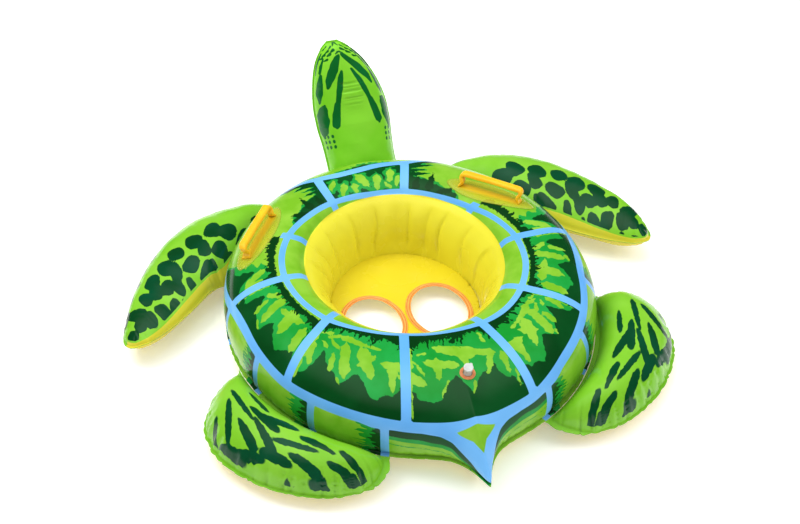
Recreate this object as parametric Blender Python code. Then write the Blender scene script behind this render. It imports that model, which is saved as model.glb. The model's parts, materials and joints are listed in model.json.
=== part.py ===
"""Inflatable sea-turtle seat float for a small child, welded from PVC film.

Frame: +Z up, +Y towards the head, origin under the middle of the object's box, on the surface it stands on.
Every film piece is modelled as a closed shell with the wall thickness FILM, and pieces that are welded
together in use keep the small gap GAP.
"""

import math

import bmesh
import bpy
from mathutils import Matrix, Vector
from mathutils.bvhtree import BVHTree

# --- Driving dimensions, metres -------------------------------------------------------------------------
FILM = 0.0012  # wall of a film piece
GAP = 0.0004  # between two pieces that are welded in use

RING_Y = -0.0531  # the ring's centre, from the middle of the whole length
RING_HALF_WIDTH = 0.351
RING_HALF_LENGTH = 0.382
WELL_TOP_Y, WELL_TOP_HALF_WIDTH, WELL_TOP_HALF_LENGTH = 0.033, 0.190, 0.208
WELL_FLOOR_Y, WELL_FLOOR_HALF_WIDTH, WELL_FLOOR_HALF_LENGTH = 0.025, 0.142, 0.165

CROWN_Z = 0.1585  # highest line of the deck
CROWN_SHARE = 0.40  # where it lies between the well's edge and the outside
GIRTH_Z = 0.072  # height of the widest line
SEAM_Z = 0.038  # outer weld between top and bottom panel, also the root of head and flippers
WELL_EDGE_Z = 0.140  # weld between the deck and the seat well
FLOOR_Z = 0.0262  # underside of the seat floor
DECK_SQUARENESS = 2.4  # superellipse exponent of the deck's outer shoulder
DECK_STEPS = (70.0, 52.0, 36.0, 20.0)  # degrees round that shoulder
FLANGE_OUT = 0.001  # outer weld flange, past the widest line
ROOT_OUT = 0.0022  # roots of head and flippers, past the widest line

TAIL_REACH = 0.082
TAIL_WIDTH = 0.023  # plan distance over which the tail's reach falls to a third
TAIL_TIP_Z = 0.044

LEG_HOLE_X, LEG_HOLE_Y = 0.0665, -0.004  # from the ring's centre
LEG_HOLE_SHIFT = -0.006  # both holes are cut a little to the left
LEG_HOLE_HALF_WIDTH, LEG_HOLE_HALF_LENGTH = 0.0567, 0.0745
LEG_RIM_INNER, LEG_RIM_OUTER = -0.0025, 0.0063  # past the hole's edge
LEG_RIM_THICK = 0.0026

FLIPPER_FLANGE = 0.035  # share of the width that is flat weld at either edge
# How far a flipper's tip is blown to one side of its drawn place, at its leading edge and at its trailing edge.
FLIPPER_DRIFT = {
    ("front", -1): ((-0.002, -0.003), (-0.002, -0.011)),
    ("front", 1): ((0.0, 0.0), (-0.002, -0.005)),
    ("rear", -1): ((0.025, -0.021), (0.011, -0.016)),
    ("rear", 1): ((0.003, 0.005), (0.0, -0.005)),
}
RIGHT_FRONT_LIFT, RIGHT_FRONT_EXTRA = 0.016, 0.008  # the right front one stands higher and fuller
HEAD_FLANGE = 0.003

# Centre from the ring's centre and direction in plan; the welds aren't quite symmetrical.
HANDLE_PLACES = {-1: (-0.252, 0.162, -124.7), 1: (0.217, 0.157, -44.5)}
HANDLE_FOOT_REACH, HANDLE_KNEE, HANDLE_SHOULDER = 0.0665, 0.0595, 0.064
HANDLE_RISE = 0.0225
HANDLE_LEAN = 24.0  # degrees outwards
HANDLE_WIDE, HANDLE_THICK = 0.014, 0.0075
STRAP_SECTION = ((-1, 0.5), (-0.55, 1), (0.55, 1), (1, 0.5), (1, -0.5), (0.55, -1), (-0.55, -1), (-1, -0.5))
PATCH_HALF_LENGTH, PATCH_HALF_WIDTH = 0.095, 0.027
PATCH_LIFT, PATCH_THICK = 0.0017, 0.0008

VALVE_AT = (0.010, -0.305)  # from the ring's centre
VALVE_TILT = 12.0  # degrees towards the tail
VALVE_TURN = -50.0  # degrees that the stopper's strap is turned to the right of straight ahead
VALVE_HOLE_RADIUS = 0.0088
VALVE_STEM_RADIUS, VALVE_BORE_RADIUS = 0.0078, 0.0054
VALVE_STEM_UP, VALVE_STEM_DOWN = 0.0175, 0.0085
VALVE_CAP_RADIUS, VALVE_CAP_THICK = 0.0086, 0.0026
FLANGE_BASE, FLANGE_BORE, FLANGE_RADIUS = 0.0018, 0.0084, 0.0140  # the valve's welded collar
LUG_HALF_WIDTH = 0.0022  # stopper strap and the lug that holds it
FLAP_RADIUS, FLAP_THICK, FLAP_GAP = 0.0070, 0.0006, 0.0004

COLOURS = {
    "print_lime": (0.26, 0.63, 0.03),
    "print_green": (0.03, 0.20, 0.07),
    "film_yellow": (0.80, 0.66, 0.03),
    "hem_orange": (0.86, 0.38, 0.08),
    "moulded_yellow": (1.0, 0.52, 0.02),
    "patch_yellow": (0.90, 0.72, 0.05),
    "valve_orange": (0.85, 0.36, 0.12),
    "valve_clear": (0.80, 0.82, 0.80),
}


# --- Scene and mesh helpers -------------------------------------------------------------------------------
def clear_scene():
    for item in list(bpy.data.objects):
        bpy.data.objects.remove(item, do_unlink=True)


def material(name):
    found = bpy.data.materials.get(name)
    if found:
        return found
    made = bpy.data.materials.new(name)
    made.use_nodes = True
    shader = made.node_tree.nodes["Principled BSDF"]
    shader.inputs["Base Color"].default_value = (*COLOURS[name], 1.0)
    shader.inputs["Roughness"].default_value = 0.25
    shader.inputs["Metallic"].default_value = 0.0
    return made


def object_of(name, mesh_data, colour, origin=None):
    """Finish a bmesh into one named object; its origin goes to `origin` when it moves about a joint."""
    bmesh.ops.recalc_face_normals(mesh_data, faces=mesh_data.faces)
    if origin is not None:
        bmesh.ops.translate(mesh_data, vec=-Vector(origin), verts=mesh_data.verts)
    mesh = bpy.data.meshes.new(name)
    mesh_data.to_mesh(mesh)
    mesh_data.free()
    made = bpy.data.objects.new(name, mesh)
    if origin is not None:
        made.location = origin
    bpy.context.scene.collection.objects.link(made)
    mesh.materials.append(material(colour))
    mesh.shade_smooth()
    mesh.set_sharp_from_angle(angle=math.radians(40))
    return made


def closed_loft(sections):
    """A tube-like body that runs round a closed circuit of closed sections."""
    mesh_data = bmesh.new()
    rings = [[mesh_data.verts.new(point) for point in section] for section in sections]
    count = len(sections[0])
    for here, there in zip(rings, rings[1:] + rings[:1]):
        for i in range(count):
            j = (i + 1) % count
            mesh_data.faces.new((here[i], here[j], there[j], there[i]))
    return mesh_data


def capped_loft(sections):
    """A body between a first and a last closed section."""
    mesh_data = bmesh.new()
    rings = [[mesh_data.verts.new(point) for point in section] for section in sections]
    count = len(sections[0])
    for here, there in zip(rings, rings[1:]):
        for i in range(count):
            j = (i + 1) % count
            mesh_data.faces.new((here[i], here[j], there[j], there[i]))
    mesh_data.faces.new(rings[0])
    mesh_data.faces.new(rings[-1][::-1])
    return mesh_data


def sheet(rows, outward):
    """An open grid of points whose faces look towards `outward`."""
    mesh_data = bmesh.new()
    grid = [[mesh_data.verts.new(point) for point in row] for row in rows]
    for here, there in zip(grid, grid[1:]):
        for i in range(len(here) - 1):
            mesh_data.faces.new((here[i], here[i + 1], there[i + 1], there[i]))
    mesh_data.normal_update()
    middle = mesh_data.faces[:][len(mesh_data.faces) // 2]
    if middle.normal.dot(outward) < 0:
        bmesh.ops.reverse_faces(mesh_data, faces=mesh_data.faces)
    return mesh_data


def film_object(name, mesh_data, colour, origin):
    """A film skin: an open grid that Solidify thickens on its outer side."""
    bmesh.ops.translate(mesh_data, vec=-Vector(origin), verts=mesh_data.verts)
    mesh = bpy.data.meshes.new(name)
    mesh_data.to_mesh(mesh)
    mesh_data.free()
    made = bpy.data.objects.new(name, mesh)
    made.location = origin
    bpy.context.scene.collection.objects.link(made)
    mesh.materials.append(material(colour))
    mesh.shade_smooth()
    thicken = made.modifiers.new("film", "SOLIDIFY")
    thicken.thickness = FILM
    thicken.offset = 1.0
    thicken.use_rim = True
    return made


def unite(target, tool):
    """Join `tool` to `target` as one body and drop the tool."""
    join = target.modifiers.new("join", "BOOLEAN")
    join.operation = "UNION"
    join.object = tool
    tool.hide_render = True
    tool.display_type = "WIRE"


# --- Curves -------------------------------------------------------------------------------------------------
def smooth_curve(points, share):
    """The point at `share` of the way along a smooth curve through `points`."""
    points = [Vector(point) for point in points]
    lengths = [0.0]
    for here, there in zip(points, points[1:]):
        lengths.append(lengths[-1] + (there - here).length)
    along = share * lengths[-1]
    i = 0
    while i < len(points) - 2 and along > lengths[i + 1]:
        i += 1
    local = (along - lengths[i]) / (lengths[i + 1] - lengths[i])
    a, b = points[i], points[i + 1]
    before = points[i - 1] if i else a * 2 - b
    after = points[i + 2] if i + 2 < len(points) else b * 2 - a
    step = b - a
    leave = (b - before) * (step.length / max(1e-9, (a - before).length + step.length))
    arrive = (after - a) * (step.length / max(1e-9, (after - b).length + step.length))
    u2, u3 = local * local, local**3
    return (
        a * (2 * u3 - 3 * u2 + 1) + leave * (u3 - 2 * u2 + local) + b * (3 * u2 - 2 * u3) + arrive * (u3 - u2)
    )


def offset_path(path, distance):
    """A flat path moved to its left, with mitred corners."""
    moved = []
    for i, point in enumerate(path):
        normals = []
        for here, there in ((i - 1, i), (i, i + 1)):
            if here >= 0 and there < len(path):
                step = Vector((path[there][0] - path[here][0], path[there][1] - path[here][1])).normalized()
                normals.append(Vector((-step.y, step.x)))
        mitre = sum(normals, Vector((0.0, 0.0))).normalized()
        mitre *= distance / max(0.4, mitre.dot(normals[0]))
        moved.append((point[0] + mitre.x, point[1] + mitre.y))
    return moved


def swell(share, edge, margin):
    """Height of an inflated skin, 0 to 1, at a share of its width; flat in the weld margin."""
    inside = (share - margin) / (1 - 2 * margin)
    from_edge = min(inside, 1 - inside)
    if from_edge <= 1e-6:
        return 0.0
    return math.sqrt(1 - (1 - from_edge / edge) ** 2) if from_edge < edge else 1.0


# --- Ring ---------------------------------------------------------------------------------------------------
def ring_angles():
    """Stations round the ring, closer together at the tail."""
    fine = (0.0, 2.0, 4.5, 8.0, 13.0, 19.0)
    coarse_count = 42
    span = 360.0 - 2 * fine[-1]
    angles = [fine[-1] + span * i / coarse_count for i in range(coarse_count + 1)]
    angles += [360.0 - a for a in fine[-2:0:-1]] + list(fine[:-1])
    return [math.radians(-90.0 + a) for a in angles]


def girth(angle):
    """The ring's widest line without the tail."""
    return Vector((RING_HALF_WIDTH * math.cos(angle), RING_Y + RING_HALF_LENGTH * math.sin(angle)))


def station(angle):
    """Plan frame of one section: the point on the widest line, the outward direction, and the distances
    along it to the well's edge and floor."""
    outer = girth(angle)
    edge = Vector(
        (WELL_TOP_HALF_WIDTH * math.cos(angle), RING_Y + WELL_TOP_Y + WELL_TOP_HALF_LENGTH * math.sin(angle))
    )
    floor = Vector(
        (
            WELL_FLOOR_HALF_WIDTH * math.cos(angle),
            RING_Y + WELL_FLOOR_Y + WELL_FLOOR_HALF_LENGTH * math.sin(angle),
        )
    )
    outward = (outer - edge).normalized()
    return outer, outward, (edge - outer).dot(outward), (floor - outer).dot(outward)


def tail_reach(angle):
    if math.sin(angle) > 0:
        return 0.0
    return TAIL_REACH * math.exp(-abs(girth(angle).x) / TAIL_WIDTH)


def deck_path(angle):
    """Inner face of the top panel, from the well's edge over the crown to the outer weld flange."""
    _, _, edge, _ = station(angle)
    reach = tail_reach(angle)
    pinch = (reach / TAIL_REACH) ** 0.6
    crown = edge * (1 - CROWN_SHARE)
    path = [(edge + 0.0002, WELL_EDGE_Z), (edge + 0.012, 0.1500), (edge + 0.034, 0.1565), (crown, CROWN_Z)]
    for degrees in DECK_STEPS + (0.0,):
        across = math.cos(math.radians(degrees)) ** (2 / DECK_SQUARENESS)
        up = math.sin(math.radians(degrees)) ** (2 / DECK_SQUARENESS)
        weight = across**1.5
        height = GIRTH_Z + (CROWN_Z - GIRTH_Z) * up
        height += (TAIL_TIP_Z + 0.006 - height) * pinch * weight**2
        path.append((crown * (1 - across) + reach * weight, height))
    lower = 0.052 + (TAIL_TIP_Z + 0.002 - 0.052) * pinch
    path.append((-0.002 + reach, lower))
    path.append((-0.009 + reach, SEAM_Z + GAP / 2))
    path.append((FLANGE_OUT + reach, SEAM_Z + GAP / 2))
    return path


def belly_path(angle):
    """Inner face of the bottom panel, from the outer weld flange under the ring to the well's foot."""
    _, _, _, floor = station(angle)
    reach = tail_reach(angle)
    seam = SEAM_Z - GAP / 2
    return [
        (FLANGE_OUT + reach, seam),
        (-0.009 + reach, seam),
        (-0.018 + 0.85 * reach, 0.020),
        (-0.034 + 0.55 * reach, 0.006),
        (-0.055 + 0.10 * reach, FILM),
        (floor + 0.045, FILM),
        (floor + 0.020, 0.006),
        (floor + 0.001, 0.0205),
    ]


def wall_path(angle):
    """Tube side of the seat well's wall, from its foot up to the well's edge."""
    _, _, edge, floor = station(angle)
    flare = edge - floor
    return [
        (floor, 0.0215),
        (floor + 0.02 * flare, 0.050),
        (floor + 0.10 * flare, 0.080),
        (floor + 0.32 * flare, 0.108),
        (floor + 0.66 * flare, 0.128),
        (edge - 0.0002, WELL_EDGE_Z - 0.0003),
    ]


def ring_panel(name, path_at, colour):
    sections = []
    for angle in ring_angles():
        outer, outward, _, _ = station(angle)
        inner_path = path_at(angle)
        loop = inner_path + offset_path(inner_path, FILM)[::-1]
        sections.append([(*(outer + outward * out), height) for out, height in loop])
    return object_of(name, closed_loft(sections), colour)


def oval(centre, half_width, half_length, height, count):
    points = []
    for i in range(count):
        turn = math.tau * i / count
        x = centre[0] + half_width * math.cos(turn)
        y = centre[1] + half_length * math.sin(turn)
        points.append(Vector((x, y, height)))
    return points


def seat_floor():
    """The flat film floor with its two leg holes."""
    edge = []
    for angle in ring_angles():
        outer, outward, _, floor = station(angle)
        edge.append((*(outer + outward * (floor - FILM - 0.0005)), FLOOR_Z))
    outlines = [edge]
    for side in (-1, 1):
        centre = (LEG_HOLE_SHIFT + side * LEG_HOLE_X, RING_Y + LEG_HOLE_Y)
        outlines.append(oval(centre, LEG_HOLE_HALF_WIDTH, LEG_HOLE_HALF_LENGTH, FLOOR_Z, 28))
    mesh_data = bmesh.new()
    edges = []
    for outline in outlines:
        verts = [mesh_data.verts.new(point) for point in outline]
        edges += [mesh_data.edges.new(pair) for pair in zip(verts, verts[1:] + verts[:1])]
    bmesh.ops.triangle_fill(mesh_data, use_beauty=True, edges=edges)
    pulled = bmesh.ops.extrude_face_region(mesh_data, geom=mesh_data.faces[:])
    raised = [item for item in pulled["geom"] if isinstance(item, bmesh.types.BMVert)]
    bmesh.ops.translate(mesh_data, vec=(0, 0, FILM), verts=raised)
    return object_of("seat_floor", mesh_data, "film_yellow")


def leg_rim(name, side):
    """The hem round one leg hole, a low rounded band on the floor."""
    base = FLOOR_Z + FILM + 0.0003
    middle = (LEG_RIM_INNER + LEG_RIM_OUTER) / 2
    profile = [
        (LEG_RIM_INNER, base),
        (LEG_RIM_OUTER, base),
        (LEG_RIM_OUTER, base + 0.5 * LEG_RIM_THICK),
        (middle, base + LEG_RIM_THICK),
        (LEG_RIM_INNER, base + 0.5 * LEG_RIM_THICK),
    ]
    sections = []
    steps = 28
    for i in range(steps):
        turn = math.tau * i / steps
        section = []
        for past, height in profile:
            x = LEG_HOLE_SHIFT + side * LEG_HOLE_X + (LEG_HOLE_HALF_WIDTH + past) * math.cos(turn)
            y = RING_Y + LEG_HOLE_Y + (LEG_HOLE_HALF_LENGTH + past) * math.sin(turn)
            section.append((x, y, height))
        sections.append(section)
    return object_of(name, closed_loft(sections), "hem_orange")


# --- Flippers -----------------------------------------------------------------------------------------------
# Outlines in plan, from the ring's centre, on the +X side. A flipper is a patch between its root on the
# ring, its leading edge, its trailing edge and its tip.
FRONT_FLIPPER = {
    "root": (66.0, 28.0),
    "leading": [
        (0.190, 0.398),
        (0.272, 0.400),
        (0.360, 0.374),
        (0.440, 0.298),
        (0.496, 0.201),
        (0.533, 0.106),
    ],
    "tip": [(0.539, 0.068), (0.523, 0.049)],
    "trailing": [(0.345, 0.168), (0.400, 0.117), (0.450, 0.077), (0.496, 0.050)],
    "rows": (0.0, 0.03, 0.055, 0.10, 0.17, 0.26, 0.38, 0.52, 0.66, 0.79, 0.89, 0.95, 0.985, 1.0),
    "columns": (0.0, 0.035, 0.09, 0.20, 0.35, 0.50, 0.65, 0.80, 0.91, 0.965, 1.0),
    "swell_along": 0.24,
    "swell_across": 0.5,
    "root_margin": 0.03,
    "tip_margin": 0.015,
    "rise": (0.060, 0.030),
    "sink": (0.034, 0.024),
    "seam": (SEAM_Z, 0.042),
}
REAR_FLIPPER = {
    "root": (-9.5, -66.0),
    "leading": [(0.368, -0.067), (0.404, -0.078)],
    "tip": [
        (0.440, -0.110),
        (0.461, -0.168),
        (0.451, -0.236),
        (0.399, -0.312),
        (0.327, -0.366),
        (0.256, -0.390),
    ],
    "trailing": [(0.160, -0.371), (0.200, -0.388)],
    "rows": (0.0, 0.06, 0.11, 0.20, 0.32, 0.46, 0.60, 0.73, 0.84, 0.92, 0.965, 1.0),
    "columns": (0.0, 0.035, 0.07, 0.13, 0.21, 0.32, 0.44, 0.56, 0.68, 0.79, 0.87, 0.93, 0.965, 1.0),
    "swell_along": 0.5,
    "swell_across": 0.30,
    "root_margin": 0.06,
    "tip_margin": 0.035,
    "rise": (0.064, 0.056),
    "sink": (0.020, 0.016),
    "seam": (SEAM_Z, 0.028),
}


def root_point(degrees):
    angle = math.radians(degrees)
    outer, outward, _, _ = station(angle)
    return outer + outward * ROOT_OUT


def from_ring(points):
    return [Vector((x, y + RING_Y)) for x, y in points]


def flipper_plan(shape, along, across):
    """Plan point of a flipper patch at shares along its length and across its width."""
    first, last = shape["root"]
    root = root_point(first + (last - first) * across)
    leading = [root_point(first)] + from_ring(shape["leading"])
    trailing = [root_point(last)] + from_ring(shape["trailing"])
    tip = [leading[-1]] + from_ring(shape["tip"]) + [trailing[-1]]
    sides = smooth_curve(leading, along) * (1 - across) + smooth_curve(trailing, along) * across
    ends = root * (1 - along) + smooth_curve(tip, across) * along
    corners = (leading[0] * (1 - across) + trailing[0] * across) * (1 - along)
    corners += (tip[0] * (1 - across) + tip[-1] * across) * along
    return sides + ends - corners


def flipper_height(shape, along, across, depths):
    """How far a skin stands off the weld plane."""
    root_margin, tip_margin = shape["root_margin"], shape["tip_margin"]
    inside = (along - root_margin) / (1 - root_margin - tip_margin)
    depth = depths[0] + (depths[1] - depths[0]) * along
    return depth * swell(inside, shape["swell_along"], 0.0) * swell(
        across, shape["swell_across"], FLIPPER_FLANGE
    )


def flipper_hinge(shape, side):
    """Point and direction of the straight line that a flipper bends about: it touches the curved root
    from outside, level with the seam. A positive turn lifts the tip."""
    first, last = (root_point(degrees) for degrees in shape["root"])
    chord = (last - first).normalized()
    outward = Vector((-chord.y, chord.x))
    if outward.x < 0:
        outward = -outward
    low, high = sorted(shape["root"])
    roots = [root_point(low + (high - low) * i / 24) for i in range(25)]
    touch = max(roots, key=lambda point: point.dot(outward))
    lift_axis = Vector((outward.x * side, outward.y, 0.0)).cross(Vector((0.0, 0.0, 1.0)))
    return Vector((touch.x * side, touch.y, SEAM_Z)), lift_axis


def smooth_share(along):
    """0 at a flipper's root, and nearly all of the way by its middle."""
    return math.sin(math.pi / 2 * along)


def flipper_skin(name, shape, side, upper, colour):
    up = 1 if upper else -1
    leading, trailing = FLIPPER_DRIFT["rear" if shape is REAR_FLIPPER else "front", side]
    depths = shape["rise"] if upper else shape["sink"]
    lift = 0.0
    if shape is FRONT_FLIPPER and side > 0:
        lift = RIGHT_FRONT_LIFT
        depths = tuple(depth + RIGHT_FRONT_EXTRA for depth in depths) if upper else depths
    rows = []
    for along in shape["rows"]:
        seam = shape["seam"][0] + (shape["seam"][1] - shape["seam"][0]) * along
        raised = lift * math.sin(math.pi / 2 * min(1.0, along / 0.35)) ** 2
        row = []
        for across in shape["columns"]:
            plan = flipper_plan(shape, along, across)
            height = seam + raised * (1 - across) + up * (GAP / 2 + flipper_height(shape, along, across, depths))
            drift = Vector(leading).lerp(Vector(trailing), across) * smooth_share(along)
            moved = Vector((plan.x * side, plan.y)) + drift
            row.append((moved.x, moved.y, height))
        rows.append(row)
    origin, _ = flipper_hinge(shape, side)
    return film_object(name, sheet(rows, Vector((0, 0, up))), colour, origin)


# --- Head ---------------------------------------------------------------------------------------------------
# The weld line down either side of the neck and head, from the ring's centre (y, z), and for stations along
# it the half-width and how far the back and the front stand off that line.
HEAD_LINE = [(0.3835, 0.038), (0.394, 0.038), (0.428, 0.075), (0.461, 0.120), (0.489, 0.165), (0.511, 0.215)]
HEAD_LINE += [(0.530, 0.269), (0.543, 0.329)]
HEAD_STATIONS = [  # share of the line, half-width, back, front
    (0.000, 0.0725, 0.000, 0.000),
    (0.035, 0.0725, 0.000, 0.000),
    (0.070, 0.0725, 0.018, 0.016),
    (0.130, 0.0715, 0.031, 0.031),
    (0.220, 0.0715, 0.042, 0.043),
    (0.340, 0.0735, 0.048, 0.051),
    (0.470, 0.0775, 0.048, 0.057),
    (0.590, 0.0765, 0.043, 0.059),
    (0.700, 0.0695, 0.040, 0.055),
    (0.800, 0.0585, 0.036, 0.047),
    (0.880, 0.0455, 0.029, 0.036),
    (0.940, 0.0305, 0.020, 0.024),
    (0.975, 0.0195, 0.010, 0.012),
    (0.990, 0.0125, 0.000, 0.000),
    (1.000, 0.0085, 0.000, 0.000),
]
HEAD_ARC_STEPS = 8
HEAD_ROOT_X, HEAD_TIP_X = 0.0285, -0.002  # the head sits and leans a little to one side


def head_section(share, half_width, depth, up):
    """One row of points across the head, flange to flange."""
    here = smooth_curve(HEAD_LINE, share)
    ahead = smooth_curve(HEAD_LINE, min(1.0, share + 0.02)) - smooth_curve(HEAD_LINE, max(0.0, share - 0.02))
    ahead.normalize()
    back = Vector((-ahead.y, ahead.x)) * up
    fade = max(0.0, 1 - share / 0.25)
    offsets = [(-half_width - HEAD_FLANGE, 0.0)]
    for i in range(HEAD_ARC_STEPS + 1):
        turn = math.pi * i / HEAD_ARC_STEPS
        off = math.sin(turn) ** 0.9 if 0 < i < HEAD_ARC_STEPS else 0.0
        offsets.append((-half_width * math.cos(turn), off))
    offsets.append((half_width + HEAD_FLANGE, 0.0))
    row = []
    for x, off in offsets:
        point = here + back * (GAP / 2 + depth * off)
        x += HEAD_ROOT_X + (HEAD_TIP_X - HEAD_ROOT_X) * share**3
        curve_back = RING_HALF_LENGTH * (1 - math.sqrt(1 - (x / RING_HALF_WIDTH) ** 2)) * fade
        row.append((x, point.x - curve_back + RING_Y, point.y))
    return row


def head_skin(name, upper, colour):
    up = 1 if upper else -1
    rows = []
    for share, half_width, back, front in HEAD_STATIONS:
        rows.append(head_section(share, half_width, back if upper else front, up))
    outward = Vector((0, -up, up))
    return film_object(name, sheet(rows, outward), colour, head_hinge_point())


def head_hinge_point():
    return Vector((0.0, RING_Y + RING_HALF_LENGTH + ROOT_OUT, SEAM_Z))


# --- Handles ------------------------------------------------------------------------------------------------
def deck_tree(deck):
    mesh_data = bmesh.new()
    mesh_data.from_mesh(deck.data)
    tree = BVHTree.FromBMesh(mesh_data)
    mesh_data.free()
    return tree


def deck_height(tree, x, y):
    hit, _, _, _ = tree.ray_cast(Vector((x, y, 1.0)), Vector((0, 0, -1)))
    return hit.z


def handle_frame(side):
    x, y, degrees = HANDLE_PLACES[side]
    turn = math.radians(degrees)
    along = Vector((math.cos(turn), math.sin(turn), 0.0))
    centre = Vector((x, RING_Y + y, 0.0))
    outward = Vector((side * -along.y, side * along.x, 0.0))
    return centre, along, outward


def handle_patch(name, side, tree):
    """An oval of film that follows the deck."""
    centre, along, outward = handle_frame(side)
    columns, rows = 15, 6
    top, bottom = [], []
    for i in range(columns):
        lengthwise = -math.cos(math.pi * (i + 0.35) / (columns - 0.3))
        half = math.sqrt(1 - lengthwise**2) ** 0.8
        above, below = [], []
        for j in range(rows):
            crosswise = (2 * j / (rows - 1) - 1) * half
            spot = centre + along * (lengthwise * PATCH_HALF_LENGTH)
            spot += outward * (crosswise * PATCH_HALF_WIDTH)
            base = deck_height(tree, spot.x, spot.y) + PATCH_LIFT
            below.append((spot.x, spot.y, base))
            above.append((spot.x, spot.y, base + PATCH_THICK))
        top.append(above)
        bottom.append(below)
    sections = [above + below[::-1] for above, below in zip(top, bottom)]
    return object_of(name, capped_loft(sections), "patch_yellow")


def handle_path():
    """Centre line of the grab loop: feet, knees and the bar, in its own upright plane."""
    half = HANDLE_THICK / 2
    right = [
        (HANDLE_FOOT_REACH, half),
        (HANDLE_KNEE + 0.0045, half),
        (HANDLE_KNEE + 0.0012, half + 0.0022),
        (HANDLE_KNEE + 0.0010, half + 0.0062),
        (HANDLE_SHOULDER + 0.0005, HANDLE_RISE - 0.0060),
        (HANDLE_SHOULDER - 0.0010, HANDLE_RISE - 0.0020),
        (HANDLE_SHOULDER - 0.0050, HANDLE_RISE),
        (HANDLE_SHOULDER - 0.0240, HANDLE_RISE + 0.0005),
    ]
    return [(-along, up) for along, up in right] + [(0.0, HANDLE_RISE + 0.001)] + right[::-1]


def handle(name, side, tree):
    """A moulded strap-like loop standing on its patch."""
    centre, along, outward = handle_frame(side)
    path = handle_path()
    clear = PATCH_LIFT + PATCH_THICK + 0.0004
    # The strap lies on the highest deck point under each foot.
    feet = []
    for end in (-1, 1):
        heights = []
        for share in (0.82, 0.9, 1.0):
            for across in (-1, 0, 1):
                spot = centre + along * (end * share * HANDLE_FOOT_REACH)
                spot += outward * (across * HANDLE_WIDE / 2)
                heights.append(deck_height(tree, spot.x, spot.y))
        feet.append(max(heights) + clear)
    sections = []
    for i, (reach, up) in enumerate(path):
        before, after = path[max(0, i - 1)], path[min(len(path) - 1, i + 1)]
        step = Vector((after[0] - before[0], after[1] - before[1])).normalized()
        normal = Vector((-step.y, step.x))
        share = (reach + HANDLE_FOOT_REACH) / (2 * HANDLE_FOOT_REACH)
        base = feet[0] + (feet[1] - feet[0]) * share
        section = []
        for across, out in STRAP_SECTION:
            flat = Vector((reach, up)) + normal * (out * HANDLE_THICK / 2)
            lean = math.tan(math.radians(HANDLE_LEAN)) * max(0.0, flat.y - HANDLE_THICK)
            spot = centre + along * flat.x + outward * (across * HANDLE_WIDE / 2 + lean)
            section.append((spot.x, spot.y, base + flat.y))
        sections.append(section)
    return object_of(name, capped_loft(sections), "moulded_yellow")


# --- Valve --------------------------------------------------------------------------------------------------
def valve_frame(tree):
    """Matrix of the valve: its base on the deck, +Z out of the chamber, +Y towards its stopper's strap."""
    x, y = VALVE_AT[0], RING_Y + VALVE_AT[1]
    base = Vector((x, y, deck_height(tree, x, y)))
    tilt = Matrix.Rotation(math.radians(VALVE_TILT), 4, "X")
    return Matrix.Translation(base) @ tilt @ Matrix.Rotation(math.radians(VALVE_TURN), 4, "Z")


def lathe(profile, frame, steps=20):
    """A turned body. A profile that starts and ends on the axis is solid, any other is a closed ring."""
    solid = profile[0][0] == 0.0
    mesh_data = bmesh.new()
    rings = []
    for radius, height in profile:
        if radius == 0.0:
            rings.append([mesh_data.verts.new(frame @ Vector((0, 0, height)))] * steps)
            continue
        ring = []
        for i in range(steps):
            turn = math.tau * i / steps
            spot = Vector((radius * math.cos(turn), radius * math.sin(turn), height))
            ring.append(mesh_data.verts.new(frame @ spot))
        rings.append(ring)
    pairs = list(zip(rings, rings[1:]))
    if not solid:
        pairs.append((rings[-1], rings[0]))
    for here, there in pairs:
        for i in range(steps):
            j = (i + 1) % steps
            corners = []
            for vert in (here[i], here[j], there[j], there[i]):
                if vert not in corners:
                    corners.append(vert)
            mesh_data.faces.new(corners)
    return mesh_data


def block(low, high, frame):
    mesh_data = bmesh.new()
    bmesh.ops.create_cube(mesh_data, size=1.0)
    size = [h - l for l, h in zip(low, high)]
    middle = [(h + l) / 2 for l, h in zip(low, high)]
    for vert in mesh_data.verts:
        vert.co = frame @ Vector([m + s * c for m, s, c in zip(middle, size, vert.co)])
    return mesh_data


def valve_hinge_local():
    """The strap's bending line, level with the stopper's seat, behind the tube."""
    return Vector((0.0, VALVE_STEM_RADIUS + 0.0022, VALVE_STEM_UP + 0.0006))


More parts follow.
